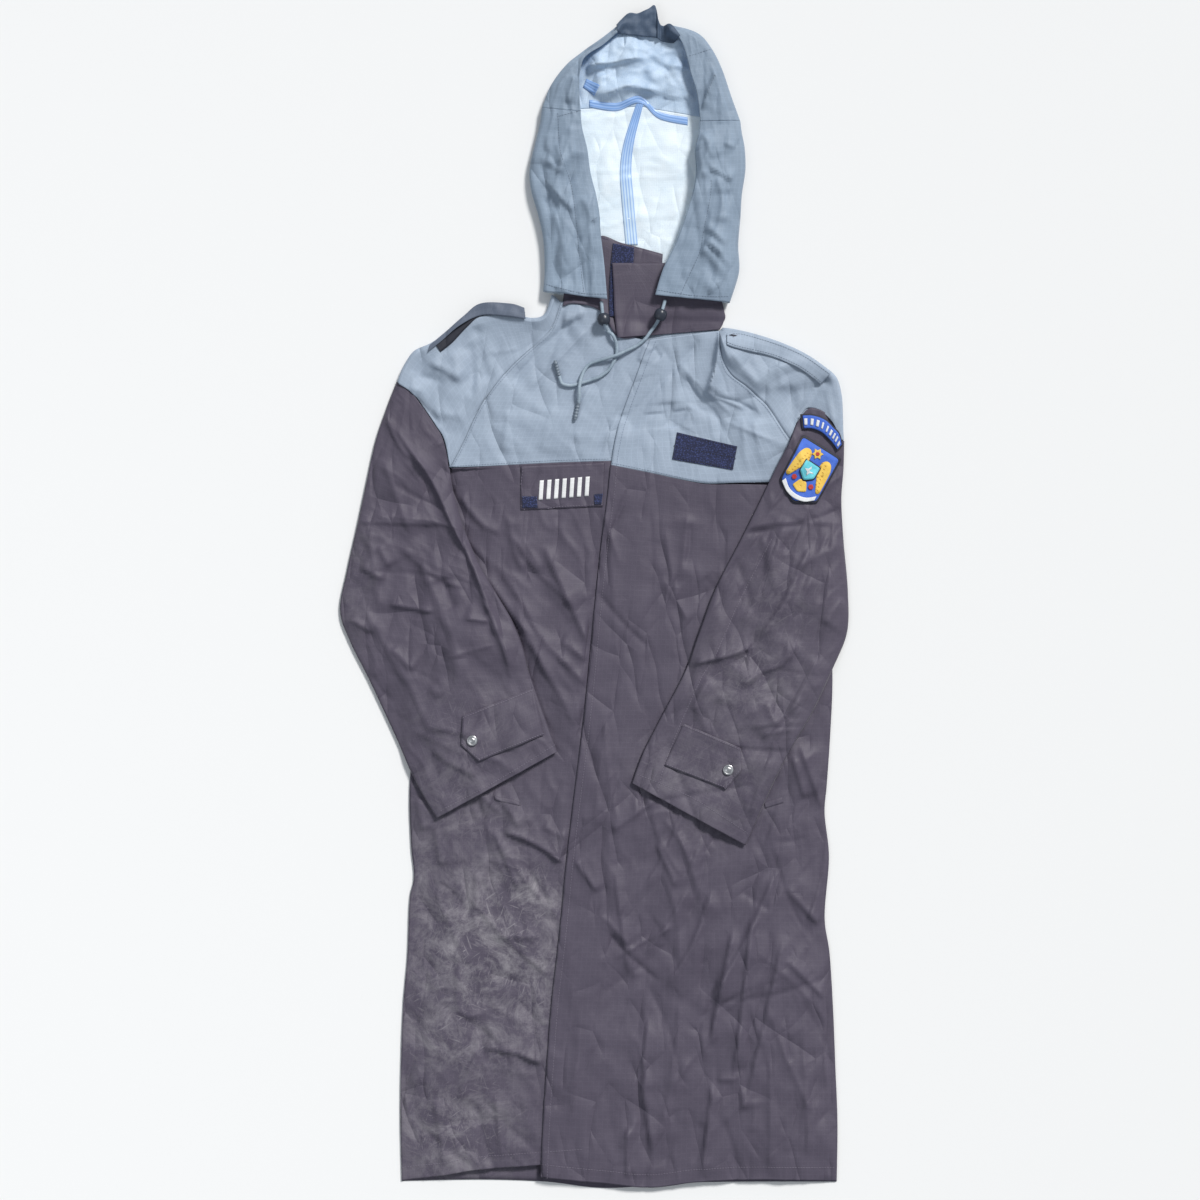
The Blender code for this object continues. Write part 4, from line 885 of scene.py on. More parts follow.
@dataclass
class Relief:
    """Listed creases, small ones scattered from a fixed seed, and the soft swell under them."""

    creases: list
    seed: int = 1
    swell: float = 0.0009
    ridges: float = 0.0012
    grain: float = 1.3      # the direction that the small ridges follow, in radians from +X
    stretch: float = 3.0
    cell: float = 0.035
    tip: float = 0.0007
    gain: float = 1.0
    calm_above: float = 9.0  # the height above which the cloth lies smoother

    def pressed(self, crease: Crease, x: Array, y: Array) -> Array:
        """The height of one crease at each point.

        Args:
            crease: the crease. It fades at both ends, and its darker side is the steep one.
            x, y: the points.

        Returns:
            The heights.
        """
        count = 2 if len(crease.line) == 2 else 3 * len(crease.line) - 2
        places = smooth_rows(crease.line, count)
        ways = walked(places)
        best = np.full(x.shape, 1e9)
        away, along = np.zeros(x.shape), np.zeros(x.shape)
        for start, step, way, length in zip(places, np.diff(places, axis=0), ways, np.diff(ways)):
            t = ((x - start[0]) * step[0] + (y - start[1]) * step[1]) / length**2
            side = ((x - start[0]) * step[1] - (y - start[1]) * step[0]) / length
            held = np.clip(t, 0, 1)
            gap = np.hypot(x - start[0] - held * step[0], y - start[1] - held * step[1])
            nearer = gap < best
            best = np.where(nearer, gap, best)
            away = np.where(nearer, side, away)
            along = np.where(nearer, way + held * length, along)
        course = places[-1] - places[0]
        darker = -np.sign((course[1] * LIT_FROM[0] - course[0] * LIT_FROM[1]) * crease.height) or 1.0
        steep = np.sign(away) * darker * np.sign(crease.lean) > 0
        lean = min(0.95, 1.6 * abs(crease.lean))
        reach = crease.width * np.where(steep, 1 - 0.78 * lean, 1 + 0.9 * lean)
        gap = np.sqrt(best**2 + self.tip**2) - self.tip
        shape = 0.5 * np.exp(-gap / (2.2 * reach)) + 0.5 * np.exp(-gap / (0.5 * reach))
        t = along / ways[-1]
        uneven = 1 + 0.25 * lattice_noise(x, y, 0.035, self.seed + 9)
        return crease.height * shape * uneven * eased(t / 0.18) * eased((1 - t) / 0.18)

    def scatter(self, count: int, box: tuple, angle: float, spread: float) -> "Relief":
        """Adds small creases inside a box, most of them near one direction.

        Args:
            count: how many.
            box: lowest x, lowest y, highest x and highest y.
            angle: the direction in radians from +X.
            spread: how far the direction strays.

        Returns:
            The relief itself.
        """
        dice = np.random.default_rng(self.seed)
        for _ in range(count):
            x, y = dice.uniform(box[0], box[2]), dice.uniform(box[1], box[3])
            turn = angle + dice.normal(0, spread)
            length = dice.uniform(0.05, 0.20)
            dx, dy = math.cos(turn) * length / 2, math.sin(turn) * length / 2
            bend = dice.uniform(-0.15, 0.15)
            middle = (x - dy * bend, y + dx * bend)
            height = dice.choice([-1, 1, 1]) * dice.uniform(0.0005, 0.0020)
            ends = ((x - dx, y - dy), middle, (x + dx, y + dy))
            self.creases.append(Crease(ends, dice.uniform(0.003, 0.008), height, dice.uniform(-0.2, 0.8)))
        return self

    def at(self, x: Array, y: Array) -> Array:
        """The whole relief at each point.

        Args:
            x, y: the places.

        Returns:
            Heights above the flat cloth.
        """
        total = self.swell * lattice_noise(x, y, 0.07, self.seed)
        total = total + 0.4 * self.swell * lattice_noise(x, y, 0.03, self.seed + 1)
        along = x * math.cos(self.grain) + y * math.sin(self.grain)
        across = -x * math.sin(self.grain) + y * math.cos(self.grain)
        across = across + 0.012 * lattice_noise(x, y, 0.05, self.seed + 2)
        busy = 0.4 + 0.6 * eased((self.calm_above - y) / 0.25)
        for step, share in ((1.0, 1.0), (0.45, 0.45), (0.2, 0.18)):
            wave = lattice_noise(along / self.stretch, across, self.cell * step, self.seed + 3)
            total = total + busy * self.ridges * share * ((1 - np.abs(wave)) ** 4 - 0.25)
        for crease in self.creases:
            total = total + self.pressed(crease, x, y)
        return self.gain * total


def neighbours(grid: Array) -> Array:
    """Nine copies of a grid, each shifted by up to one cell.

    Args:
        grid: rows by columns of heights.

    Returns:
        The nine grids, stacked.
    """
    wide = np.pad(grid, 1, mode="edge")
    rows, columns = grid.shape
    return np.stack([wide[i:i + rows, j:j + columns] for i in range(3) for j in range(3)])


class LaidCloth:
    """What lies on the surface so far, for the pieces that are laid on top."""

    def __init__(self) -> None:
        """Starts with nothing laid."""
        self.trees: dict[str, tuple] = {}

    def add(self, name: str, points: Array, faces: Array, wall: float) -> None:
        """Remembers a piece."""
        self.trees[name] = (BVHTree.FromPolygons(points.tolist(), faces.tolist()), wall / 2)

    def top(self, x: Array, y: Array, under: Names) -> Array:
        """The highest laid surface at each point.

        Args:
            x, y: the points.
            under: the pieces that count.

        Returns:
            Heights, with nan where none of the pieces is.
        """
        found = np.full(x.size, np.nan)
        down = Vector((0, 0, -1))
        for k, (px, py) in enumerate(zip(x.ravel().tolist(), y.ravel().tolist())):
            for name in under:
                tree, half = self.trees[name]
                hit = tree.ray_cast(Vector((px, py, 0.3)), down)[0]
                if hit is not None and not found[k] >= hit.z + half:
                    found[k] = hit.z + half
        return found.reshape(x.shape)

    def settled(self, x: Array, y: Array, under: Names, spread: int, blur: int,
                floor: bool = False) -> Array:
        """A smooth height that clears what is below, as a stiff cloth would lie.

        Args:
            x, y: the grid.
            under: the pieces that it lies on.
            spread: how many cells a high place reaches.
            blur: how often the heights are smoothed.
            floor: whether a miss is the surface itself.

        Returns:
            The height of the grid's lower side.
        """
        raw = self.top(x, y, under)
        if floor:
            raw = np.nan_to_num(raw, nan=0.0)
        while np.isnan(raw).any() and not np.isnan(raw).all():
            near = neighbours(raw)
            filled = np.where(np.isnan(near), -9.0, near).max(axis=0)
            raw = np.where(np.isnan(raw) & (filled > -9.0), filled, raw)
        raw = np.nan_to_num(raw, nan=0.0)
        high = raw
        for _ in range(spread):
            high = neighbours(high).max(axis=0)
        for _ in range(blur):
            high = neighbours(high).mean(axis=0)
        return np.maximum(high, raw) + CLEARANCE


def dust_at(x: Array, y: Array) -> Array:
    """How much dust was rubbed into the cloth at each point. That of the left front ends at the fly.

    Args:
        x, y: the places.

    Returns:
        Shares from 0 to 1.
    """
    left_of_fly = eased(0.5 + (fly_x(y) - x) / 0.004)
    total = np.zeros(x.shape)
    for patch in DUST:
        away = ((x - patch.x) / patch.width) ** 2 + ((y - patch.y) / patch.length) ** 2
        share = patch.amount * np.exp(-0.8 * away)
        total = np.maximum(total, share * left_of_fly if patch.x < 0 else share)
    return total


def linked(name: str, data: bpy.types.ID) -> Piece:
    """A new object in the scene.

    Args:
        name: its name.
        data: its mesh, lamp or camera.

    Returns:
        The object.
    """
    made = bpy.data.objects.new(name, data)
    bpy.context.scene.collection.objects.link(made)
    return made


def cut_of(grids: Sequence[Array], closed: bool) -> tuple:
    """The flat size that grids were cut to.

    Args:
        grids: the piece's grids.
        closed: whether they are tubes.

    Returns:
        Width, length and area.
    """
    width, length, area = 0.0102, 0.0102, 0.0
    for grid in grids:
        ring = np.concatenate([grid, grid[:, :1]], axis=1) if closed else grid
        width = max(width, float(np.linalg.norm(np.diff(ring, axis=1), axis=2).sum(axis=1).max()))
        length = max(length, float(np.linalg.norm(np.diff(ring, axis=0), axis=2).sum(axis=0).max()))
        a, b, c = ring[:-1, :-1], ring[:-1, 1:], ring[1:, :-1]
        area += float(np.linalg.norm(np.cross(b - a, c - a), axis=2).sum())
    return round(width, 4), round(length, 4), round(min(area, width * length), 5)


def quads_of(grid: Array, closed: bool, up_column: Optional[int]) -> tuple:
    """The faces of a grid, and the place of each corner on its flat cloth.

    Args:
        grid: rows by columns of points.
        closed: whether its last column joins its first.
        up_column: a column whose faces look up, the middle one if None.

    Returns:
        Point numbers by face, and u and v by face and corner.
    """
    rows, columns = grid.shape[:2]
    index = np.arange(rows * columns).reshape(rows, columns)
    u = np.cumsum([0.0, *np.linalg.norm(np.diff(grid, axis=1), axis=2).mean(axis=0)])
    v = np.cumsum([0.0, *np.linalg.norm(np.diff(grid, axis=0), axis=2).mean(axis=1)])
    if closed:
        index = np.concatenate([index, index[:, :1]], axis=1)
        u = np.append(u, u[-1] + float(np.linalg.norm(grid[:, 0] - grid[:, -1], axis=1).mean()))
    uv = np.stack(np.meshgrid(u, v), axis=2)
    ways = [slice(None, -1), slice(1, None)]
    order = [(0, 0), (0, 1), (1, 1), (1, 0)]
    face = np.stack([index[ways[i], ways[j]] for i, j in order], axis=2).reshape(-1, 4)
    corner = np.stack([uv[ways[i], ways[j]] for i, j in order], axis=2).reshape(-1, 4, 2)
    place = columns // 2 if up_column is None else up_column
    a, b, c = grid[rows // 2, place], grid[rows // 2, (place + 1) % columns], grid[rows // 2 + 1, place]
    if np.cross(b - a, c - a)[2] <= 0:
        return face[:, ::-1], corner[:, ::-1]
    return face, corner


@dataclass
class Workshop:
    """What every sub-assembly shares: the shaders and the cloth that is laid so far."""

    shaders: ShaderBench
    laid: LaidCloth

    def sew(self, name: str, grids: Sequence[Array], finish: Finish, wall: float = WALL,
            closed: bool = False, up_column: Optional[int] = None, lining: Optional[Finish] = None
            ) -> Piece:
        """Makes one cloth piece from grids of points.

        Args:
            name: the piece's name.
            grids: rows by columns of points.
            finish: the finish of its outer side.
            wall: its thickness.
            closed: whether each last column joins the first.
            up_column: a column whose faces look up, the middle one if None.
            lining: the finish of its inner side, if that is another.

        Returns:
            The piece, with a live wall.
        """
        faces, corners, shift = [], [], 0
        for grid in grids:
            face, corner = quads_of(grid, closed, up_column)
            faces.append(face + shift)
            corners.append(corner)
            shift += grid.shape[0] * grid.shape[1]
        points, all_faces = np.concatenate([grid.reshape(-1, 3) for grid in grids]), np.concatenate(faces)
        mesh = bpy.data.meshes.new(name)
        mesh.from_pydata(points.tolist(), [], all_faces.tolist())
        layer = mesh.uv_layers.new(name="cloth")
        layer.data.foreach_set("uv", np.concatenate(corners).ravel().astype(np.float32))
        rubbed = mesh.attributes.new("dust", "FLOAT", "POINT")
        rubbed.data.foreach_set("value", dust_at(points[:, 0], points[:, 1]).astype(np.float32))
        mesh.shade_smooth()
        piece = linked(name, mesh)
        mesh.materials.append(self.shaders.material(finish))
        shell = piece.modifiers.new("wall", "SOLIDIFY")
        shell.thickness = wall
        shell.offset = 0.0
        if lining:
            mesh.materials.append(self.shaders.material(lining))
            shell.material_offset = 1
        self.laid.add(name, points, all_faces, wall)
        return piece

    def lay(self, spans: Array, size: tuple, under: Names, lift: float = 0.0, spread: int = 1,
            blur: int = 2, wall: float = WALL, floor: bool = False, straight: bool = False) -> Array:
        """A grid laid on what is below.

        Args:
            spans: rows across the piece.
            size: how many points across and along.
            under: what it lies on.
            lift: how far it stands off.
            spread, blur: how stiffly it lies.
            wall: its thickness.
            floor: whether the surface shows through below it.
            straight: whether its edges run straight from row to row.

        Returns:
            The grid of its middle surface.
        """
        read = straight_rows if straight or len(spans) == 2 else smooth_rows
        x, y = across_rows(read(spans, size[1]), np.linspace(0, 1, size[0]))
        z = self.laid.settled(x, y, under, spread, blur, floor) + wall / 2 + lift
        return np.stack([x, y, z], axis=2)

    def drape(self, outline: Array, under: Names, rings: int, lift: float, wall: float
              ) -> Array:
        """A closed grid of rings that fills an outline, laid on what is below.

        Args:
            outline: its points in order.
            under: what it lies on.
            rings: how many rings.
            lift: how far it is kept off what is below.
            wall: its thickness.

        Returns:
            The grid.
        """
        centre = outline.mean(axis=0)
        shares = np.linspace(0.004, 1.0, rings)[:, None, None]
        flat = centre + (outline[None, :, :] - centre) * shares
        z = self.laid.settled(flat[..., 0], flat[..., 1], under, 0, 1) + wall / 2 + lift
        return np.concatenate([flat, z[..., None]], axis=2)

    def hand_over(self, piece: Piece, slot: str, nodes: Names = (),
                  cut: Optional[tuple] = None, held: Held = Held.LAID, rests_on: Names = (),
                  with_pieces: Sequence[Piece] = ()) -> None:
        """Attaches a finished piece to the body, hides the solids that it stands for and logs its cut.

        Args:
            piece: the piece.
            slot: the record's material slot; not used.
            nodes: the solids that it stands for.
            cut: its flat width, length and area, if it is a sheet of cloth.
            held: how the sheet is held; not used.
            rests_on: what it lies on; not used.
            with_pieces: what is sewn on it; not used.
        """
        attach(piece, BODY_NAME)
        if nodes:
            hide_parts(*nodes)
        if cut:
            list(rests_on)
        log.info("%s: cut %s", piece.name, cut)

    def cloth(self, node: str, grids: Sequence[Array], finish: Finish, slot: str, rests_on: Names = (),
              held: Held = Held.LAID, ending: str = "cloth", **how) -> None:
        """Sews the cloth of one node and hands it over with its cut.

        Args:
            node: the solid that it stands for.
            grids: its grids.
            finish: its finish.
            slot: the record's material slot.
            rests_on: what it lies on.
            held: how it is held.
            ending: what its name adds to the node's.
            how: what else sew takes.
        """
        piece = self.sew(f"{node}_{ending}", grids, finish, **how)
        self.hand_over(piece, slot, [node], cut_of(grids, how.get("closed", False)), held, rests_on)

    def detail(self, name: str, grids: Sequence[Array], finish: Finish, slot: str, wall: float,
               nodes: Names = (), **how) -> Piece:
        """Sews a small piece that is part of another's cut and hands it over without one.

        Args:
            name, grids, finish, wall, how: as in sew.
            slot, nodes: as in hand_over.

        Returns:
            The piece.
        """
        piece = self.sew(name, grids, finish, wall, **how)
        self.hand_over(piece, slot, nodes)
        return piece


def floor_level(x: Array, y: Array) -> Array:
    """The middle of a wall that lies on the surface."""
    return np.full(x.shape, FLOOR_LEVEL)


@dataclass
class Fronts:
    """The back, both fronts and both yokes."""

    shop: Workshop
    step: float = 0.0030
    coarse: float = 0.009    # the step of what lies flat on the surface
    fold: float = 0.010      # how far a crease of one front fades at the fly
    left: Relief = field(init=False)
    right: Relief = field(init=False)

    def __post_init__(self) -> None:
        """Presses the creases of each half."""
        self.left = Relief(LEFT_FRONT_CREASES + LEFT_YOKE_CREASES, seed=11, grain=2.15, ridges=0.0007,
                           gain=1.9, calm_above=0.30)
        self.left.scatter(50, (-0.27, -0.80, -0.04, 0.16), 2.15, 0.55)
        self.left.scatter(10, (-0.20, 0.19, 0.06, 0.38), 0.9, 0.5)
        self.right = Relief(RIGHT_FRONT_CREASES + RIGHT_YOKE_CREASES, seed=23, grain=1.35, ridges=0.0006,
                            gain=1.8, calm_above=-0.10)
        self.right.scatter(70, (0.00, -0.80, 0.33, -0.20), 1.25, 0.55)
        self.right.scatter(12, (0.00, -0.20, 0.25, 0.14), 1.5, 0.4)
        self.right.scatter(10, (0.04, 0.18, 0.30, 0.34), 2.0, 0.6)

    def level(self, x: Array, y: Array) -> Array:
        """The middle of the left front's wall.

        Args:
            x, y: the places.

        Returns:
            Heights.
        """
        inside = np.where(y < 0.18, side_distance(x, y), 1.0)
        leftness = eased((fly_x(y) - x) / self.fold)
        pressed = leftness * self.left.at(x, y) + (1 - leftness) * self.right.at(x, y)
        raised = SIDE_LEVEL + FRONT_LIFT * eased(inside / SIDE_FALL) + pressed * eased(0.25 + inside / 0.02)
        return np.maximum(raised, LOWEST_FRONT)

    def over_level(self, x: Array, y: Array) -> Array:
        """The middle of the right front's wall, which steps up over the left front."""
        beyond = (x - fly_x(y) - UNDERLAP - 0.004) / 0.04
        return self.level(x, y) + OVERLAP_STEP * (1 - eased(beyond))

    def panel(self, name: str, edges: Array, level: Callable, ends: Sequence, below: Names,
              pinned: Names = ()) -> None:
        """A panel of the body or a yoke.

        Args:
            name: its node.
            edges: rows of its first and its second edge. A body panel's go down, and a yoke's go up.
            level: its height at each place.
            ends: the lines that its first and its last row keep to, None where they are straight.
            below: what it rests on.
            pinned: the edges of a yoke, "start" or "end", that are sewn to a cap and keep their line.
        """
        body = not name.startswith("yoke")
        step = self.coarse if level is floor_level else self.step
        width = float(np.hypot(edges[:, 2] - edges[:, 0], edges[:, 3] - edges[:, 1]).max())
        across, along = int(width / step), int((1.0 if body else 0.25) / step)
        rows = smooth_rows(edges, along)
        turn = 1 if edges[0, 0] < edges[0, 2] else -1
        start, end = "start" in pinned, "end" in pinned
        rows[:, 0] += SEAM_GAP * turn * start
        rows[:, 2] -= SEAM_GAP * turn * end
        u, v = np.linspace(0, 1, across), np.linspace(0, 1, along)[:, None]
        x, y = across_rows(rows, u)
        free = (1 - (1 - u) ** 4 * start) * (1 - u**4 * end)
        seam_side = -SEAM_GAP / 2 if body else SEAM_GAP / 2
        fade = 8 if body else 6
        fitted = ((ends[0], edges[0], seam_side, 1 - v), (ends[1], edges[-1], 0.0, v))
        for stations, edge, gap, share in fitted:
            if stations is not None:
                straight = edge[1] + (edge[3] - edge[1]) * u
                y += (line(stations, x) + gap - straight) * share**fade * free
        grid = np.stack([x, y, level(x, y)], axis=2)
        finish = DARK if body else BLUE
        self.shop.cloth(name, [grid], finish, finish.name, below)
        self.shop.laid.trees[name] = self.shop.laid.trees[name + "_cloth"]

    def build(self) -> None:
        """Lays the back first, then the left front and the right one, and the yokes in the same order."""
        under_edge = BODY[:, :4] + np.array([0.0, 0.0, UNDERLAP, 0.0])
        self.panel("back", BODY[:, [0, 1, 4, 5]], floor_level, (YOKE_SEAM_BACK, HEM_BACK), ())
        self.panel("front_left", under_edge, self.level, (YOKE_SEAM_LEFT, HEM_LEFT), ("back",))
        self.panel("front_right", BODY[:, 2:], self.over_level, (YOKE_SEAM_RIGHT, HEM_RIGHT),
                   ("front_left", "back"))
        left = smooth_rows(CAP_LEFT, 11)[:, :2]
        right = np.vstack([ARMHOLE_CORNER, smooth_rows(CAP_RIGHT, 11)[:, :2]])
        left_edge = smooth_rows(YOKE_LEFT_EDGE, len(left))
        right_edge = smooth_rows(YOKE_RIGHT_EDGE, len(right))
        self.panel("yoke_back", np.hstack([np.vstack([left[:1], left]), right]), floor_level,
                   (None, NECK_BACK), (), ("start", "end"))
        self.panel("yoke_left", np.hstack([left_edge, left]), self.level, (YOKE_SEAM_LEFT, NECK_LEFT),
                   ("yoke_back",), ("end",))
        self.panel("yoke_right", np.hstack([right_edge, right]), self.over_level, (YOKE_SEAM_RIGHT, None),
                   ("yoke_left", "yoke_back"), ("end",))


def folded_row(seam: Array, fold: Array, upper: float, radius: float, band: int,
               floor_end: Array, floor: int, turn_steps: int = 9) -> Array:
    """A cloth folded once: from its upper end round the fold and back along the surface.

    Args:
        seam: the upper end.
        fold: the outermost point of the fold.
        upper: the height of the upper end.
        radius: the fold's radius.
        band: how many points the upper layer has.
        floor_end: where the lower layer ends.
        floor: how many points the lower layer has.
        turn_steps: how many points the fold has.

    Returns:
        The row of points.
    """
    radius = min(radius, 0.42 * float(np.linalg.norm(fold - seam)))
    outward = (fold - seam) / np.linalg.norm(fold - seam)
    centre = fold - outward * (radius + FLOOR_LEVEL)
    crest = FLOOR_LEVEL + 2 * radius
    t = np.arange(band)[:, None] / band
    upper_part = np.hstack([seam + (centre - seam) * t, upper + (crest - upper) * t * t])
    angle = math.pi * (0.5 - np.arange(turn_steps)[:, None] / (turn_steps - 1))
    bent = np.hstack([centre + outward * radius * np.cos(angle), FLOOR_LEVEL + radius * (1 + np.sin(angle))])
    s = np.arange(1, floor + 1)[:, None] / floor
    lower = np.hstack([centre + (floor_end - centre) * s, np.full((floor, 1), FLOOR_LEVEL)])
    return np.vstack([upper_part, bent, lower])


def bowed(seam: Array, share: Array) -> tuple:
    """How far a curved seam leaves the straight line between its ends.

    Args:
        seam: the seam's stations.
        share: where it is read, from 0 at its start to 1 at its end.

    Returns:
        The way to go in x and in y.
    """
    smooth = smooth_rows(seam, 60)
    even = np.linspace(0, 1, 60)
    straight = smooth[0] + (smooth[-1] - smooth[0]) * share[..., None]
    return tuple(np.interp(share, even, smooth[:, k]) - straight[..., k] for k in (0, 1))


@dataclass
class Sleeves:
    """The raglan caps and the lower sleeves."""

    shop: Workshop
    fronts: Fronts
    ring: int = 128
    rows: int = 210
    band: int = 26       # how many points the cap's upper layer has
    floor: int = 8       # and its lower layer

    def relief(self, side: Side) -> Relief:
        """The creases of one sleeve.

        Args:
            side: which side.

        Returns:
            The relief.
        """
        shared = {"ridges": 0.0007, "swell": 0.0010, "gain": 1.9}
        if side is Side.LEFT:
            made = Relief(list(LEFT_SLEEVE_CREASES), seed=31, grain=2.1, **shared)
            return made.scatter(38, (-0.34, -0.28, -0.08, 0.24), 2.2, 0.7)
        made = Relief(list(RIGHT_SLEEVE_CREASES), seed=41, grain=1.1, **shared)
        return made.scatter(38, (0.08, -0.32, 0.34, 0.18), 1.0, 0.7)

    def cap(self, side: Side) -> None:
        """A raglan cap: one cloth folded over the shoulder, whose creases run on from the yoke.

        Args:
            side: which side.
        """
        left = side is Side.LEFT
        spans, gap, seam_line = ((CAP_LEFT, -SEAM_GAP, SEAM_CAP_LEFT) if left
                                 else (CAP_RIGHT, SEAM_GAP, SEAM_CAP_RIGHT))
        level, relief = ((self.fronts.level, self.fronts.left) if left
                         else (self.fronts.over_level, self.fronts.right))
        rows = []
        for seam_x, seam_y, fold_x, fold_y in smooth_rows(smooth_rows(spans, 11), 66):
            seam, fold = np.array([seam_x + gap, seam_y]), np.array([fold_x, fold_y])
            upper = float(level(np.array([seam_x]), np.array([seam_y]))[0])
            rows.append(folded_row(seam, fold, upper, CAP_FOLD_RADIUS, self.band, seam, self.floor))
        points = np.array(rows)
        share = np.clip(np.arange(points.shape[1]) / self.band, 0, 1)
        away = bowed(seam_line, 1 - share)
        low = (1 - np.linspace(0, 1, len(points))[:, None]) ** 2
        points[..., 0] += away[0] * low
        points[..., 1] += away[1] * low
        weight = eased(6 * share) * (1 - eased((share - 0.82) / 0.18))
        creased = points[..., 2] + relief.at(points[..., 0], points[..., 1]) * weight
        points[..., 2] = np.where(weight > 0, np.maximum(creased, 3 * WALL), points[..., 2])
        self.shop.cloth(f"cap_{side.value}", [points], BLUE, "blue_cloth", held=Held.FOLDED, up_column=8)

    def sleeve(self, side: Side) -> None:
        """A lower sleeve: a flattened tube, creased where it looks up.

        Args:
            side: which side.
        """
        spans, seam = (SLEEVE_LEFT, SEAM_CAP_LEFT) if side is Side.LEFT else (SLEEVE_RIGHT, SEAM_CAP_RIGHT)
        fronts = ["front_left_cloth", "front_right_cloth"]
        under = ["back_cloth", *fronts, "yoke_left_cloth", "yoke_right_cloth"]
        angle = 2 * math.pi * np.arange(self.ring) / self.ring
        share = (1 - np.cos(angle)) / 4 + 0.5 * np.abs((angle / math.pi + 1) % 2 - 1)
        x, y = across_rows(smooth_rows(spans, self.rows), share)
        away = bowed(seam, share)
        high = (1 - np.linspace(0, 1, self.rows)[:, None]) ** 6 * eased(2.5 * np.sin(angle))
        x = x + away[0] * high
        y = y + away[1] * high
        rest = self.shop.laid.settled(x, y, under, 3, 4, floor=True)
        bulge = np.sign(np.sin(angle)) * np.abs(np.sin(angle)) ** 0.6
        up = np.clip(bulge, 0, 1)
        pressed = np.maximum(self.relief(side).at(x, y) * eased(1.6 * up), -0.8 * SLEEVE_HEIGHT * up)
        z = rest + WALL / 2 + SLEEVE_HEIGHT * (0.5 + 0.5 * bulge) + pressed
        self.shop.cloth(f"sleeve_{side.value}", [np.stack([x, y, z], axis=2)], DARK, "dark_cloth", fronts,
                        Held.FOLDED, closed=True, up_column=self.ring // 4)

    def build(self) -> None:
        """Both caps and both sleeves."""
        for side in Side:
            self.cap(side)
            self.sleeve(side)


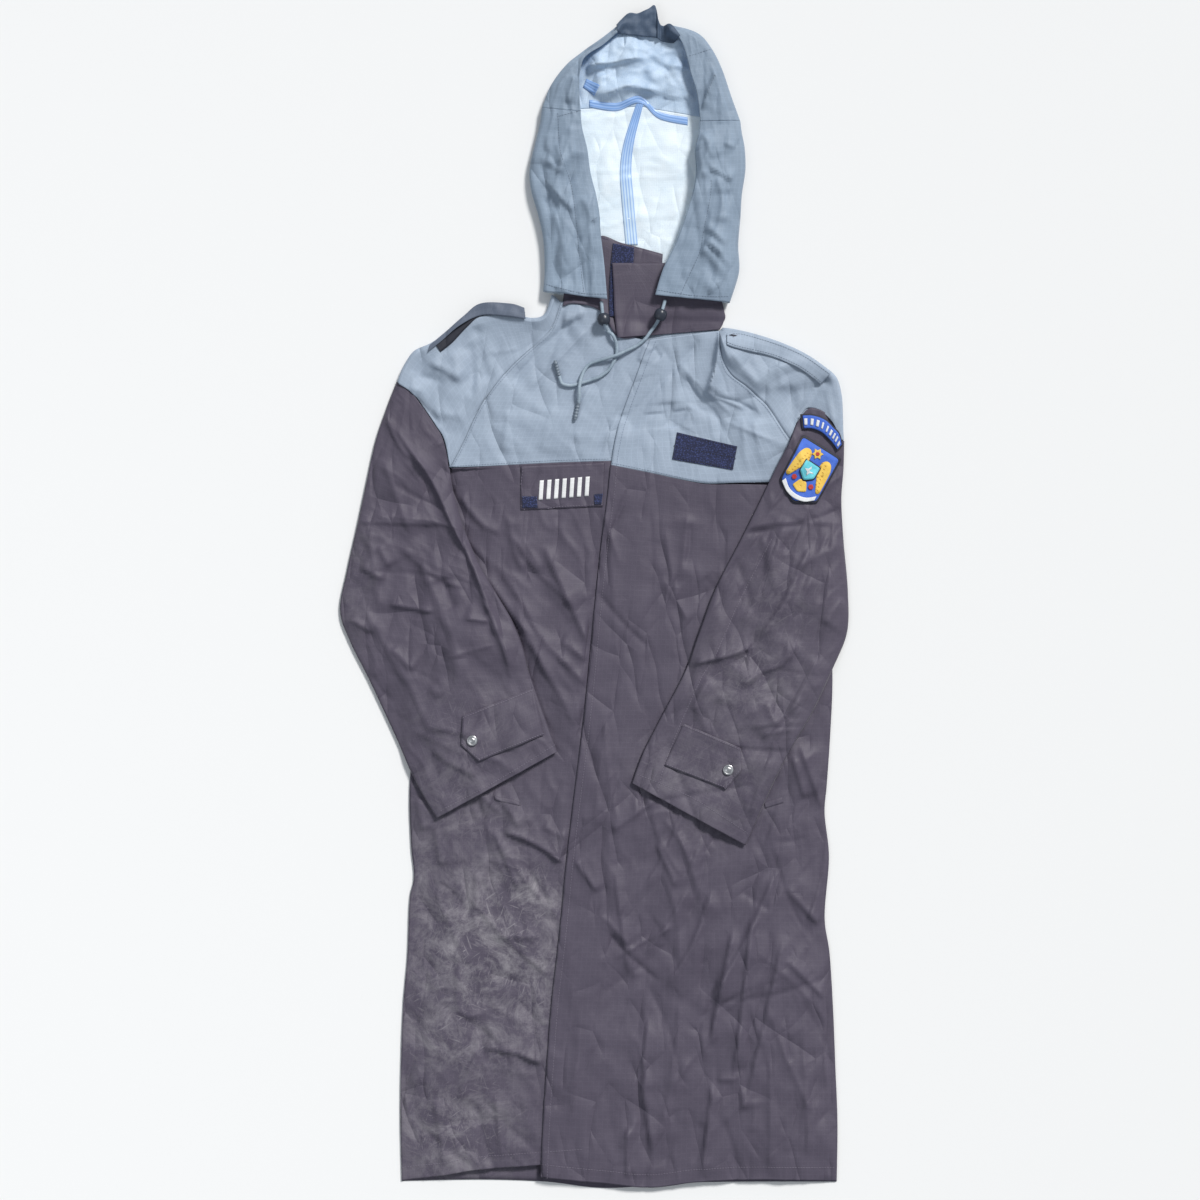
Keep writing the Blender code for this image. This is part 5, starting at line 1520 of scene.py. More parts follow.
@dataclass
class Hood:
    """Both sides and the crown of the hood, its brim and the tapes on its seams."""

    shop: Workshop
    band: int = 30
    floor: int = 26
    turn: int = 9
    rows: int = 84
    outer: Relief = field(init=False)
    inner: Relief = field(init=False)

    def __post_init__(self) -> None:
        """Presses the creases of the outer cloth and of the lining, which run on over the seams."""
        self.outer = Relief(LEFT_HOOD_CREASES + RIGHT_HOOD_CREASES + CROWN_BAND_CREASES, seed=51, grain=1.45,
                            ridges=0.0009, swell=0.0012, gain=2.0)
        self.outer.scatter(26, (-0.08, 0.42, 0.0, 0.74), 1.6, 0.35)
        self.outer.scatter(26, (0.11, 0.42, 0.20, 0.74), 1.5, 0.35)
        self.inner = Relief(LINING_CREASES + CROWN_CREASES, seed=73, grain=0.3, swell=0.0010)
        self.inner.scatter(34, (0.00, 0.69, 0.13, 0.77), 0.4, 0.9)

    def _creased(self, points: Array, halves: int = 1) -> Array:
        """Presses the outer creases into the upper layers and the inner ones into the lower layer.

        Args:
            points: rows by columns of points, which it changes.
            halves: two if each row runs on to the other side fold.

        Returns:
            The same points.
        """
        band_share = np.arange(self.band) / self.band
        upper = eased(0.4 + 5 * band_share) * (1 - eased((band_share - 0.80) / 0.2))
        lower = eased(np.arange(1, self.floor + 1) / (0.3 * self.floor))
        weight_up = np.concatenate([upper, np.zeros(self.turn + self.floor)])
        weight_low = np.concatenate([np.zeros(self.band + self.turn), lower])
        if halves == 2:
            weight_up = np.concatenate([weight_up, weight_up[-2::-1]])
            weight_low = np.concatenate([weight_low, weight_low[-2::-1]])
        x, y = points[..., 0], points[..., 1]
        points[..., 2] += self.outer.at(x, y) * weight_up
        points[..., 2] += np.maximum(self.inner.at(x, y), 0.0) * weight_low
        return points

    def _folded(self, edge: Array, fold: Array, middle: Array) -> Array:
        """A row from the opening edge round the side fold to the middle of the lining."""
        return folded_row(edge, fold, HOOD_EDGE_HEIGHT, HOOD_FOLD_RADIUS, self.band, middle, self.floor,
                          self.turn)

    def side(self, side: Side) -> None:
        """One side of the hood, blue outside and white inside.

        Args:
            side: which side.
        """
        rows, gap = (HOOD_LEFT, -SEAM_GAP / 2) if side is Side.LEFT else (HOOD_RIGHT, SEAM_GAP / 2)
        points = [self._folded(row[:2], row[2:4], row[4:6] + np.array([gap, 0.0]))
                  for row in smooth_rows(rows, self.rows)]
        self._finish(f"hood_{side.value}", self._creased(np.array(points)))

    def crown(self) -> None:
        """The crown, from one opening edge to the other. It starts on the sides' last rows."""
        left, right = HOOD_LEFT[-1], HOOD_RIGHT[-1]
        seam = np.concatenate([left[:4], right[2:4], right[:2], left[4:], [0.0]])
        grid = []
        for row in smooth_rows(np.vstack([seam, CROWN]), 60):
            left_edge, left_fold, right_fold, right_edge, middle = (row[i:i + 2] for i in (0, 2, 4, 6, 8))
            start = self._folded(left_edge, left_fold, middle)
            end = self._folded(right_edge, right_fold, middle)
            section = np.vstack([start, end[-2::-1]])
            half = len(section) // 2
            away = np.abs(np.arange(len(section)) - half)
            section[:, 2] += max(0.0, row[10]) * (1 - away / half)
            section[:, 1] += 2 * SEAM_GAP * (away > half - self.band - self.turn // 2)
            grid.append(section)
        # The crown's lining is the darker copy: painted shade of the hood's depth
        self._finish("hood_crown", self._creased(np.array(grid), halves=2), SHADED_CROWN_LINING)

    def _finish(self, name: str, points: Array, lining: ClothFinish = LINING) -> None:
        """Sews one hood piece with its lining and hands it over."""
        self.shop.cloth(name, [points], HOOD_BLUE, "blue_cloth", held=Held.FOLDED, up_column=6, lining=lining)

    def trims(self) -> None:
        """The tapes inside, and the brim folded out at the top."""
        sides = ["hood_left_cloth", "hood_right_cloth"]
        tape = {"lift": -0.0001, "spread": 0, "blur": 0, "wall": TAPE_WALL}
        for name, strips, under in (
            ("hood_tape_centre", ((TAPE_CENTRE, (7, 60)),), sides),
            ("hood_tape_crown", ((TAPE_CROWN, (5, 60)), (TAPE_CORNER, (5, 10))),
             sides + ["hood_crown_cloth", "hood_tape_centre_strip"]),
        ):
            grids = [self.shop.lay(spans, size, under, **tape) for spans, size in strips]
            self.shop.cloth(name, grids, TAPE, "seam_tape", under, ending="strip", wall=TAPE_WALL)
        grid = self.shop.lay(BRIM, (16, 64), ["hood_crown_cloth"], 0.001, 2, 2)
        u = np.linspace(0, 1, 64)[:, None]
        fold = 0.004 * np.exp(-((u - 0.60) / 0.05) ** 2) - 0.0006 * np.exp(-((u - 0.70) / 0.03) ** 2)
        grid[..., 2] += 0.0018 * lattice_noise(grid[..., 0], grid[..., 1], 0.012, 77) + fold
        self.shop.cloth("hood_brim", [grid], BRIM_CLOTH, "navy_cloth", ["hood_crown_cloth"], Held.FOLDED)

    def build(self) -> None:
        """All of the hood."""
        for side in Side:
            self.side(side)
        self.crown()
        self.trims()


@dataclass
class Collar:
    """The stand collar and its hook strip."""

    shop: Workshop

    def build(self) -> None:
        """The back of the collar, then the under end, its hook strip and the over end."""
        below = ["hood_left_floor", "hood_right_floor", "yoke_back"]
        for name, rows in zip(below, (HOOD_LEFT, HOOD_RIGHT)):
            edge = smooth_rows(rows, 30)
            flat = edge[:, 2:].reshape(-1, 2, 2)
            points = np.concatenate([flat, np.full((30, 2, 1), HOOD_FLOOR_TOP)], axis=2).reshape(-1, 3)
            faces = np.array([(2 * i, 2 * i + 1, 2 * i + 3, 2 * i + 2) for i in range(29)])
            self.shop.laid.add(name, points, faces, 0.0)
        back, under, hook = "collar_back_cloth", "collar_under_cloth", "collar_hook_cloth"
        for name, spans, size, rests_on, lift, finish in (
            ("collar_back", COLLAR_BACK, (50, 14), [], 0.0, DARK),
            ("collar_under", COLLAR_UNDER, (26, 46), [back, "yoke_left"], 0.0008, DARK),
            ("collar_hook", COLLAR_HOOK, (12, 34), [back, under], 0.0, HOOK),
            ("collar_over", COLLAR_OVER, (50, 34), [back, under, hook, "yoke_left"], 0.0008, DARK),
        ):
            grid = self.shop.lay(spans, size, below + rests_on, lift, 2, 3, floor=True)
            self.shop.cloth(name, [grid], finish, finish.name, rests_on or ["yoke_back_cloth"])


@dataclass
class Trims:
    """What is sewn on: flap, hook tape, tabs, epaulettes and welts."""

    shop: Workshop
    bars: int = 7

    def _trim(self, name: str, spans: Array, size: tuple, under: Names, finish: Finish,
              slot: str, **how) -> None:
        """Lays, sews and hands over one flat trim."""
        grid = self.shop.lay(spans, size, under, **how)
        self.shop.cloth(name, [grid], finish, slot, under, wall=how.get("wall", WALL))

    def chest(self) -> None:
        """The flap with its slanted white bars and hook squares, and the hook panel for a name."""
        self._trim("chest_flap", CHEST_FLAP, (44, 24), ["front_left_cloth"], DARK, "dark_cloth", lift=0.0001,
                   spread=0)
        on_flap = ["front_left_cloth", "chest_flap_cloth"]
        bars = []
        for k in range(self.bars):
            rows = []
            for row, slant in zip(FLAP_STRIPE, (0.22, -0.22)):
                a, b = row[:2], row[2:]
                ends = [a + (b - a) * (k + part + slant) / self.bars for part in (0.12, 0.66)]
                rows.append(np.concatenate(ends))
            bars.append(self.shop.lay(rows, (5, 12), on_flap, wall=0.0003))
        self.shop.detail("flap_stripe_bars", bars, STRIPE, "reflective_white", 0.0003, ["flap_stripe"])
        self._trim("flap_hook_left", FLAP_HOOK_LEFT, (10, 8), on_flap, HOOK, "hook_tape")
        self._trim("flap_hook_right", FLAP_HOOK_RIGHT, (10, 8), on_flap, HOOK, "hook_tape")
        self._trim("chest_hook", CHEST_HOOK, (34, 20), ["yoke_right_cloth"], HOOK, "hook_tape")

    def shoulders(self) -> None:
        """Both epaulettes, a near-black strip of painted shadow under the left one, and the buttonhole of the
        right one.
        """
        grid = self.shop.lay(EPAULETTE_LEFT, (10, 64), ["cap_left_cloth"], 0.001, 2)
        u = np.linspace(0, 1, 64)[:, None]
        grid[..., 2] += 0.004 * np.exp(-((u - 0.62) / 0.14) ** 2) + 0.003 * np.exp(-((u - 0.15) / 0.15) ** 2)
        # The left epaulette wears the darker copy of the blue cloth: painted shade
        self.shop.cloth("epaulette_left", [grid], SHADED_BLUE, "blue_cloth", ["cap_left_cloth"])
        # Painted shadow: a near-black strip in the gap under the left epaulette
        grid = self.shop.lay(EPAULETTE_SHADOW_STRIP, (5, 60), ["cap_left_cloth", "yoke_left_cloth"], 0.0002, 1)
        self.shop.detail("epaulette_left_shadow_strip", [grid], PAINTED_SHADOW, "blue_cloth", 0.0004)
        self._trim("epaulette_right", EPAULETTE_RIGHT, (12, 64), ["cap_right_cloth", "yoke_right_cloth"],
                   BLUE, "blue_cloth", lift=0.0012, blur=3)
        hole = np.array([0.1930, 0.3655]) + ellipse(0.0046, 0.0011) @ turned_by(4.0)
        grid = self.shop.drape(hole, ["epaulette_right_cloth"], 3, 0.0002, 0.0003)
        self.shop.detail("epaulette_buttonhole", [grid], BADGE_BLACK, "blue_cloth", 0.0003, closed=True,
                         up_column=0)

    def build(self) -> None:
        """All the trims."""
        self.chest()
        for side, spans in zip(Side, (TAB_LEFT, TAB_RIGHT)):
            self._trim(f"cuff_tab_{side.value}", spans, (22, 34), [f"sleeve_{side.value}_cloth"], DARK,
                       "dark_cloth", lift=0.0004, straight=True)
        self.shoulders()
        for side, spans in zip(Side, (WELT_LEFT, WELT_RIGHT)):
            self._trim(f"pocket_welt_{side.value}", spans, (14, 4), [f"front_{side.value}_cloth"], DARK,
                       "dark_cloth", wall=0.0004, spread=0, blur=0, lift=-0.0003)


@dataclass
class Badges:
    """A shield with plain sprays about a small field, and an arc with plain bars."""

    shop: Workshop
    middle: tuple = (0.2980, 0.1766)
    tilt: float = 31.7
    bars: int = 9

    def placed(self, points: Sequence) -> Array:
        """The shield's own points, placed on the sleeve."""
        return np.array(points) @ turned_by(self.tilt) + np.array(self.middle)

    def patch(self, name: str, outline: Array, finish: ClothFinish, under: str, lift: float, rings: int
              ) -> Piece:
        """Sews one embroidered field."""
        grid = self.shop.drape(self.placed(outline), [under], rings, lift, PATCH_WALL)
        return self.shop.detail(name, [grid], finish, "badge_cloth", PATCH_WALL, closed=True, up_column=0)

    def shield(self) -> None:
        """The shield: a dark rim, a blue field, two gold sprays, a star, a tail and a ribbon."""
        sleeve = ["sleeve_right_cloth", "cap_right_cloth", "yoke_right_cloth"]
        edge = mm((-33.5, 40), (31.8, 40), (35, -33), (5, -50.4), (-28, -33.1))
        base = self.shop.drape(self.placed(outlined(edge, 90)), sleeve, 14, 0.0006, WALL)
        rim = self.shop.sew("badge_shield_rim", [base], BADGE_BLACK, closed=True, up_column=0)
        field_edge = (edge + mm((0, 2))) * 0.915 - mm((0, 2))
        spray = mm((-20, 26), (-13, 28), (-7.5, 23), (-6.5, 10), (-12.5, -3), (-17.5, -13), (-21.5, -21),
                      (-26.5, -19), (-25.8, 0), (-24.5, 16))
        mirrored = spray[::-1] * np.array([-1.0, 1.0]) + mm((3.5, -1.5))
        tail = mm((-3.5, -15), (6.5, -15), (13, -27), (2, -33), (-9, -28))
        inner = mm((-10.5, 12), (12.5, 12), (12.5, -6), (1, -15), (-10.5, -6))
        bead = star(6, 0.0040, 0.0034)
        sewn = [self.patch("badge_shield_field", outlined(field_edge, 90), BADGE, "badge_shield_rim", 0.0, 7)]
        for name, finish, outline, lift in (
            ("badge_spray_left", GOLD, outlined(spray, 48), 0.0),
            ("badge_spray_right", GOLD, outlined(mirrored, 48), 0.0),
            ("badge_tail", GOLD, outlined(tail, 40), 0.0),
            ("badge_star", GOLD, star(6, 0.0085, 0.0050) + mm((-1, 27)), 0.0),
            ("badge_star_centre", RED, star(6, 0.0030, 0.0026) + mm((-1, 27)), 0.0006),
            ("badge_inner_rim", BADGE_BLACK, outlined(inner * 1.13, 50), 0.0003),
            ("badge_inner_field", CYAN, outlined(inner, 50), 0.0008),
            ("badge_inner_star", BADGE_WHITE, star(4, 0.0075, 0.0030) + mm((1, 0)), 0.0013),
            ("badge_bead_left", RED, bead + mm((-12.5, -17.5)), 0.0006),
            ("badge_bead_right", RED, bead + mm((15, -17.5)), 0.0006),
        ):
            sewn.append(self.patch(name, outline, finish, "badge_shield_field", lift, 5))
        upper = self.placed(mm((-21.5, -25.5), (-10.5, -34), (3, -36.8), (16.5, -34), (28.5, -24.5)))
        lower = self.placed(mm((-24, -31.5), (-11.5, -40), (3, -43.2), (17.5, -40), (29, -31)))
        spans = np.hstack([upper, lower])
        grid = self.shop.lay(spans, (5, 30), ["badge_shield_field"], 0.0002, 0, 1, PATCH_WALL)
        sewn.append(self.shop.detail("badge_ribbon", [grid], BADGE_WHITE, "badge_cloth", PATCH_WALL))
        x, y = edge.T
        area = abs(float(np.dot(x, np.roll(y, 1)) - np.dot(y, np.roll(x, 1)))) / 2
        cut = (round(float(np.ptp(x)), 4), round(float(np.ptp(y)), 4), round(area, 5))
        self.shop.hand_over(rim, "badge_cloth", ["badge_shield"], cut, Held.LAID, sleeve, sewn)

    def feathers(self) -> list:
        """The rows of stitches across both sprays.

        Returns:
            Lines of two points.
        """
        rows = []
        for share in np.linspace(0.02, 0.86, 8):
            start = (-0.0080 - 0.0125 * share**1.5, 0.022 - 0.042 * share)
            end = (-0.0195 - 0.0068 * share, 0.020 - 0.042 * share)
            rows.append(self.placed([start, end]))
            rows.append(self.placed([(0.0035 - x, y - 0.0015) for x, y in (start, end)]))
        return rows

    def arc(self) -> None:
        """The arc over the shield: a dark rim, a blue field and short white bars."""
        sleeve = ["sleeve_right_cloth", "cap_right_cloth"]
        base = self.shop.lay(BADGE_ARC, (12, 44), sleeve, 0.0008, 2, 5)
        rim = self.shop.sew("badge_arc_rim", [base], BADGE_BLACK)
        narrow = smooth_rows(BADGE_ARC, 60)[3:-3]
        starts, ends = narrow[:, :2].copy(), narrow[:, 2:].copy()
        inset = (ends - starts) / np.linalg.norm(ends - starts, axis=1)[:, None] * 0.0022
        narrow = np.hstack([starts + inset, ends - inset])
        grid = self.shop.lay(narrow, (8, 44), ["badge_arc_rim"], 0.0, 1, 2, PATCH_WALL)
        blue = self.shop.detail("badge_arc_field", [grid], BADGE, "badge_cloth", PATCH_WALL)
        bars = []
        for k in range(self.bars):
            first, last = (narrow[int((k + part) / self.bars * (len(narrow) - 1))] for part in (0.25, 0.72))
            rows = []
            for share in (0.24, 0.76):
                ends = [row[:2] * (1 - share) + row[2:] * share for row in (first, last)]
                rows.append(np.concatenate(ends))
            bars.append(self.shop.lay(rows, (4, 6), ["badge_arc_field"], 0.0001, 0, 1, 0.0005))
        white = self.shop.detail("badge_arc_bars", bars, BADGE_WHITE, "badge_cloth", 0.0005)
        self.shop.hand_over(rim, "badge_cloth", ["badge_arc"], cut_of([base], False), Held.LAID, sleeve,
                            [blue, white])

    def build(self) -> None:
        """Both badges."""
        self.arc()
        self.shield()


def turned_by(degrees: float) -> Array:
    """The matrix that turns rows of points clockwise, seen from above."""
    angle = math.radians(degrees)
    return np.array([[math.cos(angle), -math.sin(angle)], [math.sin(angle), math.cos(angle)]])


def ellipse(width: float, height: float, count: int = 24) -> Array:
    """An ellipse about the origin, from its half sizes."""
    angles = 2 * math.pi * np.arange(count) / count
    return np.stack([width * np.sin(angles), height * np.cos(angles)], axis=1)


def outlined(corners: Array, count: int) -> Array:
    """Even points round a closed outline, with its corners eased.

    Args:
        corners: the corners in order.
        count: how many points.

    Returns:
        The points.
    """
    ring = np.vstack([corners, corners[:1]])
    ways = walked(ring)
    places = np.linspace(0, ways[-1], count, endpoint=False)
    even = np.stack([np.interp(places, ways, ring[:, k]) for k in (0, 1)], axis=1)
    for _ in range(2):
        even = (np.roll(even, 1, axis=0) + 2 * even + np.roll(even, -1, axis=0)) / 4
    return even


def star(points: int, outer: float, inner: float) -> Array:
    """A star's outline about the origin, starting on its vertical axis.

    Args:
        points: how many points it has.
        outer: their distance from its middle.
        inner: the distance of its notches.

    Returns:
        The outline.
    """
    angles = math.pi * np.arange(2 * points) / points
    radii = np.tile([outer, inner], points)
    return np.stack([radii * np.sin(angles), radii * np.cos(angles)], axis=1)


def lofted(name: str, rings: Array, closed: bool, uv: Optional[tuple] = None) -> Piece:
    """A smooth skin over rings of points.

    Args:
        name: the piece's name.
        rings: rings by points, each a closed loop.
        closed: whether the last ring joins the first one.
        uv: u of each side and v of each ring, for a tube. It gets end caps too.

    Returns:
        The mesh object.
    """
    build = bmesh.new()
    verts = [[build.verts.new(point) for point in ring] for ring in rings]
    layer = build.loops.layers.uv.new("cloth") if uv else None
    sides = len(verts[0])
    for i in range(len(verts) if closed else len(verts) - 1):
        first, second = verts[i], verts[(i + 1) % len(verts)]
        for k in range(sides):
            n = (k + 1) % sides
            made = build.faces.new((first[k], first[n], second[n], second[k]))
            for loop, (row, column) in zip(made.loops, ((i, k), (i, k + 1), (i + 1, k + 1), (i + 1, k))):
                if uv:
                    loop[layer].uv = (uv[0][column], uv[1][row])
    for ring in (verts[0], verts[-1]) if uv else ():
        build.faces.new(ring)
    bmesh.ops.remove_doubles(build, verts=build.verts, dist=1e-6)
    bmesh.ops.recalc_face_normals(build, faces=build.faces)
    mesh = bpy.data.meshes.new(name)
    build.to_mesh(mesh)
    build.free()
    mesh.shade_smooth()
    return linked(name, mesh)


def tube(name: str, path: Array, radii: Array, sides: int = 12) -> Piece:
    """A round tube along a path, with closed ends and threads along its own map.

    Args:
        name: the piece's name.
        path: its middle line.
        radii: a radius for each point.
        sides: how many sides it has.

    Returns:
        The piece.
    """
    tangents = np.gradient(path, axis=0)
    tangents /= np.linalg.norm(tangents, axis=1)[:, None]
    across = np.cross(tangents, (0.0, 0.0, 1.0))
    across /= np.linalg.norm(across, axis=1)[:, None]
    upward = np.cross(across, tangents)
    angles = 2 * math.pi * np.arange(sides)[None, :, None] / sides
    rings = path[:, None] + radii[:, None, None] * (np.cos(angles) * across[:, None]
                                                    + np.sin(angles) * upward[:, None])
    girth = 2 * math.pi * float(radii.mean())
    return lofted(name, rings, False, (girth * np.arange(sides + 1) / sides, walked(path)))


def turned(name: str, profile: Sequence[tuple], origin: Array, axis: Array, sides: int = 40) -> Piece:
    """A piece turned about an axis.

    Args:
        name: the piece's name.
        profile: radius and height of each point, closed in itself or ending on the axis.
        origin: the place of height 0.
        axis: the axis' direction.
        sides: how many sides it has.

    Returns:
        The turned mesh object.
    """
    spin = np.array(Vector(axis).to_track_quat("Z", "Y").to_matrix())
    angles = 2 * math.pi * np.arange(sides) / sides
    rings = [np.stack([radius * np.cos(angles), radius * np.sin(angles), np.full(sides, height)], axis=1)
             for radius, height in profile]
    piece = lofted(name, np.array(rings) @ spin.T + origin, profile[0][0] > 0 and profile[-1][0] > 0)
    piece.data.set_sharp_from_angle(angle=math.radians(50))
    return piece


@dataclass
class Fittings:
    """The cuff snaps, and the drawcords with their beads and tips."""

    shop: Workshop
    under: tuple = ("yoke_left_cloth", "yoke_right_cloth", "collar_under_cloth", "collar_over_cloth",
                    "collar_hook_cloth")

    def _finish(self, piece: Piece, finish: Finish, slot: str, node: str) -> Piece:
        """Gives a fitting its material and hands it over.

        Args:
            piece: the fitting.
            finish: its finish.
            slot: the record's material slot.
            node: the node that it stands for.

        Returns:
            The fitting.
        """
        piece.data.materials.append(self.shop.shaders.material(finish))
        self.shop.hand_over(piece, slot, [node])
        return piece

    def snaps(self) -> None:
        """A domed cap with a rolled rim on each cuff tab."""
        profile = mm((0, 3), (2, 3), (3.2, 2.7), (4, 2.2), (4.8, 2.2), (5.6, 2.6), (6.4, 2.7), (7.2, 2.2),
                        (7.6, 1.3), (7.4, 0.3), (6.8, 0), (0, 0))
        for side, place in SNAPS.items():
            name = f"cuff_snap_{side.value}"
            under = [f"cuff_tab_{side.value}_cloth"]
            rest = float(self.shop.laid.top(place[:1], place[1:], under)[0])
            cap = turned(name + "_cap", profile, np.array([*place, rest]), np.array([0.0, 0.0, 1.0]))
            self._finish(cap, STEEL, "snap_steel", name)

    def cord(self, side: Side) -> None:
        """One drawcord with its tip and its bead, which sits after the second point of its route.

        Args:
            side: which side.
        """
        angles = np.linspace(0, 2 * math.pi, 9)[:-1]
        placed = []
        for i, (x, y, lift) in enumerate(CORD_ROUTES[side]):
            ring_x = np.append(x + 0.006 * np.cos(angles), x)
            ring_y = np.append(y + 0.006 * np.sin(angles), y)
            rest = float(np.nan_to_num(self.shop.laid.top(ring_x, ring_y, self.under), nan=0.0).max())
            stand = (BEAD_RADIUS if i in (1, 2) else CORD_RADIUS) + CORD_STAND
            placed.append((x, y, rest + stand + lift))
        path = smooth_rows(placed, 150)
        length = float(walked(path)[-1])
        name = f"drawcord_{side.value}"
        piece = tube(name + "_braid", path, np.full(len(path), CORD_RADIUS))
        piece.data.materials.append(self.shop.shaders.material(CORD_CLOTH))
        bead = self.bead(side, np.array(placed[1]), np.array(placed[2]))
        tip = self.tip(side)
        self.shop.hand_over(piece, "cord", [name])
        tuple(path[0])
        log.info("%s: %.3f m", name, length)

    def bead(self, side: Side, before: Array, after: Array) -> Piece:
        """The round stopper that the cord runs through.

        Args:
            side: which cord.
            before, after: the points of the cord at its ends.

        Returns:
            The piece.
        """
        bore, half = CORD_RADIUS + CORD_STAND, BEAD_LENGTH / 2
        lip = bore + 0.0006
        profile = [(bore, half * 0.92)]
        for i in range(13):
            angle = math.pi * (0.5 - i / 12)
            profile.append((lip + (BEAD_RADIUS - lip) * math.cos(angle) ** 0.8, half * math.sin(angle)))
        profile.append((bore, -half * 0.92))
        name = f"cord_bead_{side.value}"
        stopper = turned(name + "_stopper", profile, (before + after) / 2, after - before)
        return self._finish(stopper, PLASTIC, "dark_plastic", name)

    def tip(self, side: Side) -> Piece:
        """The pressed plastic end of the cord, ribbed by its crimps.

        Args:
            side: which cord.

        Returns:
            The piece.
        """
        start, end = CORD_TIPS[side]
        t = np.linspace(0, 1, 40)
        x, y = (start + (end - start) * t[:, None]).T
        rest = self.shop.laid.settled(x[None, :], y[None, :], self.under, 3, 3)[0]
        radii = 0.0027 + 0.0004 * np.cos(2 * math.pi * 5 * t) - 0.0009 * eased((t - 0.9) / 0.1)
        name = f"cord_tip_{side.value}"
        crimp = tube(name + "_crimp", np.stack([x, y, rest + 0.0032], axis=1), radii, 14)
        return self._finish(crimp, TIP_PLASTIC, "cord", name)

    def build(self) -> None:
        """Snaps and cords."""
        self.snaps()
        for side in Side:
            self.cord(side)


@dataclass
class Stitching:
    """Rows of stitches along the seams, made by one Geometry Nodes tree."""

    shop: Workshop
    pitch: float = 0.0038
    length: float = 0.0034
    thickness: float = 0.0009
    reach: float = 0.0042    # the longest gap that one row of thread bridges
    tree: bpy.types.GeometryNodeTree = field(init=False)

    def __post_init__(self) -> None:
        """Builds the tree."""
        self.tree = self._tree()

    def _tree(self) -> bpy.types.GeometryNodeTree:
        """Lines in, a realized bead of thread at every pitch out.

        Returns:
            The tree.
        """
        tree = bpy.data.node_groups.new("stitch_rows", "GeometryNodeTree")
        for name, way, kind in (
            ("Geometry", "INPUT", "Geometry"), ("Pitch", "INPUT", "Float"),
            ("Length", "INPUT", "Float"), ("Thickness", "INPUT", "Float"),
            ("Thread", "INPUT", "Material"), ("Geometry", "OUTPUT", "Geometry"),
        ):
            tree.interface.new_socket(name, in_out=way, socket_type="NodeSocket" + kind)
        wire = Wiring(tree)
        given = wire.node("NodeGroupInput").outputs
        curve = wire.node("GeometryNodeMeshToCurve", {"Mesh": given["Geometry"]}).outputs[0]
        even = wire.node("GeometryNodeResampleCurve", {"Curve": curve, "Length": given["Pitch"]},
                         mode="LENGTH")
        bead = wire.node("GeometryNodeMeshUVSphere", {"Segments": 6, "Rings": 4, "Radius": 0.5})
        thick = given["Thickness"]
        size = wire.node("ShaderNodeCombineXYZ", {0: given["Length"], 1: thick, 2: thick})
        turn = wire.node("FunctionNodeAlignRotationToVector",
                         {"Vector": wire.node("GeometryNodeInputTangent").outputs[0]}, axis="X")
        placed = wire.node("GeometryNodeInstanceOnPoints", {
            "Points": even.outputs[0], "Instance": bead.outputs["Mesh"], "Scale": size.outputs[0],
            "Rotation": turn.outputs[0],
        })
        real = wire.node("GeometryNodeRealizeInstances", {0: placed.outputs[0]}).outputs[0]
        dressed = wire.node("GeometryNodeSetMaterial", {"Geometry": real, "Material": given["Thread"]})
        wire.node("NodeGroupOutput", {"Geometry": dressed.outputs[0]})
        return tree

    def _course(self, course: Array, under: Names, points: list, edges: list) -> None:
        """Adds one line's points and edges, where it lies on the cloth.

        Args:
            course: rows of x and y.
            under: what is sewn through.
            points, edges: the lists that it adds to.
        """
        sparse = smooth_rows(course, 8 * len(course)) if len(course) > 2 else course
        ways = walked(sparse)
        places = np.linspace(0, ways[-1], max(3, int(ways[-1] / 0.003)))
        x, y = (np.interp(places, ways, sparse[:, k]) for k in (0, 1))
        rest = self.shop.laid.top(x, y, under)
        shown = [k for k in range(len(x)) if not np.isnan(rest[k])]
        for k in shown:
            follows = points and math.hypot(points[-1][0] - x[k], points[-1][1] - y[k]) < self.reach
            if k - 1 in shown[:1] or follows:
                edges.append((len(points) - 1, len(points)))
            points.append((float(x[k]), float(y[k]), float(rest[k]) + 0.0001))

    def rows(self, name: str, courses: Sequence, under: Names, finish: ClothFinish, slot: str) -> None:
        """Stitches along lines that are laid on the cloth.

        Args:
            name: the piece's name.
            courses: lists of x and y.
            under: what they are sewn through.
            finish: the thread.
            slot: the record's material slot.
        """
        points, edges = [], []
        for course in courses:
            self._course(course, under, points, edges)
        mesh = bpy.data.meshes.new(name)
        mesh.from_pydata(points, edges, [])
        carrier = linked(name, mesh)
        modifier = carrier.modifiers.new("stitches", "NODES")
        modifier.node_group = self.tree
        values = {"Pitch": self.pitch, "Length": self.length, "Thickness": self.thickness,
                  "Thread": self.shop.shaders.material(finish)}
        for item in self.tree.interface.items_tree:
            if item.in_out == "INPUT" and item.name in values:
                modifier[item.identifier] = values[item.name]
        graph = bpy.context.evaluated_depsgraph_get()
        made = bpy.data.meshes.new_from_object(carrier.evaluated_get(graph))
        carrier.modifiers.clear()
        carrier.data = made
        made.name = name
        made.shade_smooth()
        self.shop.hand_over(carrier, slot)


def offset_line(course: Array, distance: float) -> Array:
    """A line beside the one that starts each row, to its left where the distance is positive.

    Args:
        course: rows that start with x and y.
        distance: how far beside.

    Returns:
        The points of the new line.
    """
    places = course[:, :2]
    way = np.gradient(places, axis=0)
    way /= np.linalg.norm(way, axis=1)[:, None]
    return places + distance * np.stack([-way[:, 1], way[:, 0]], axis=1)


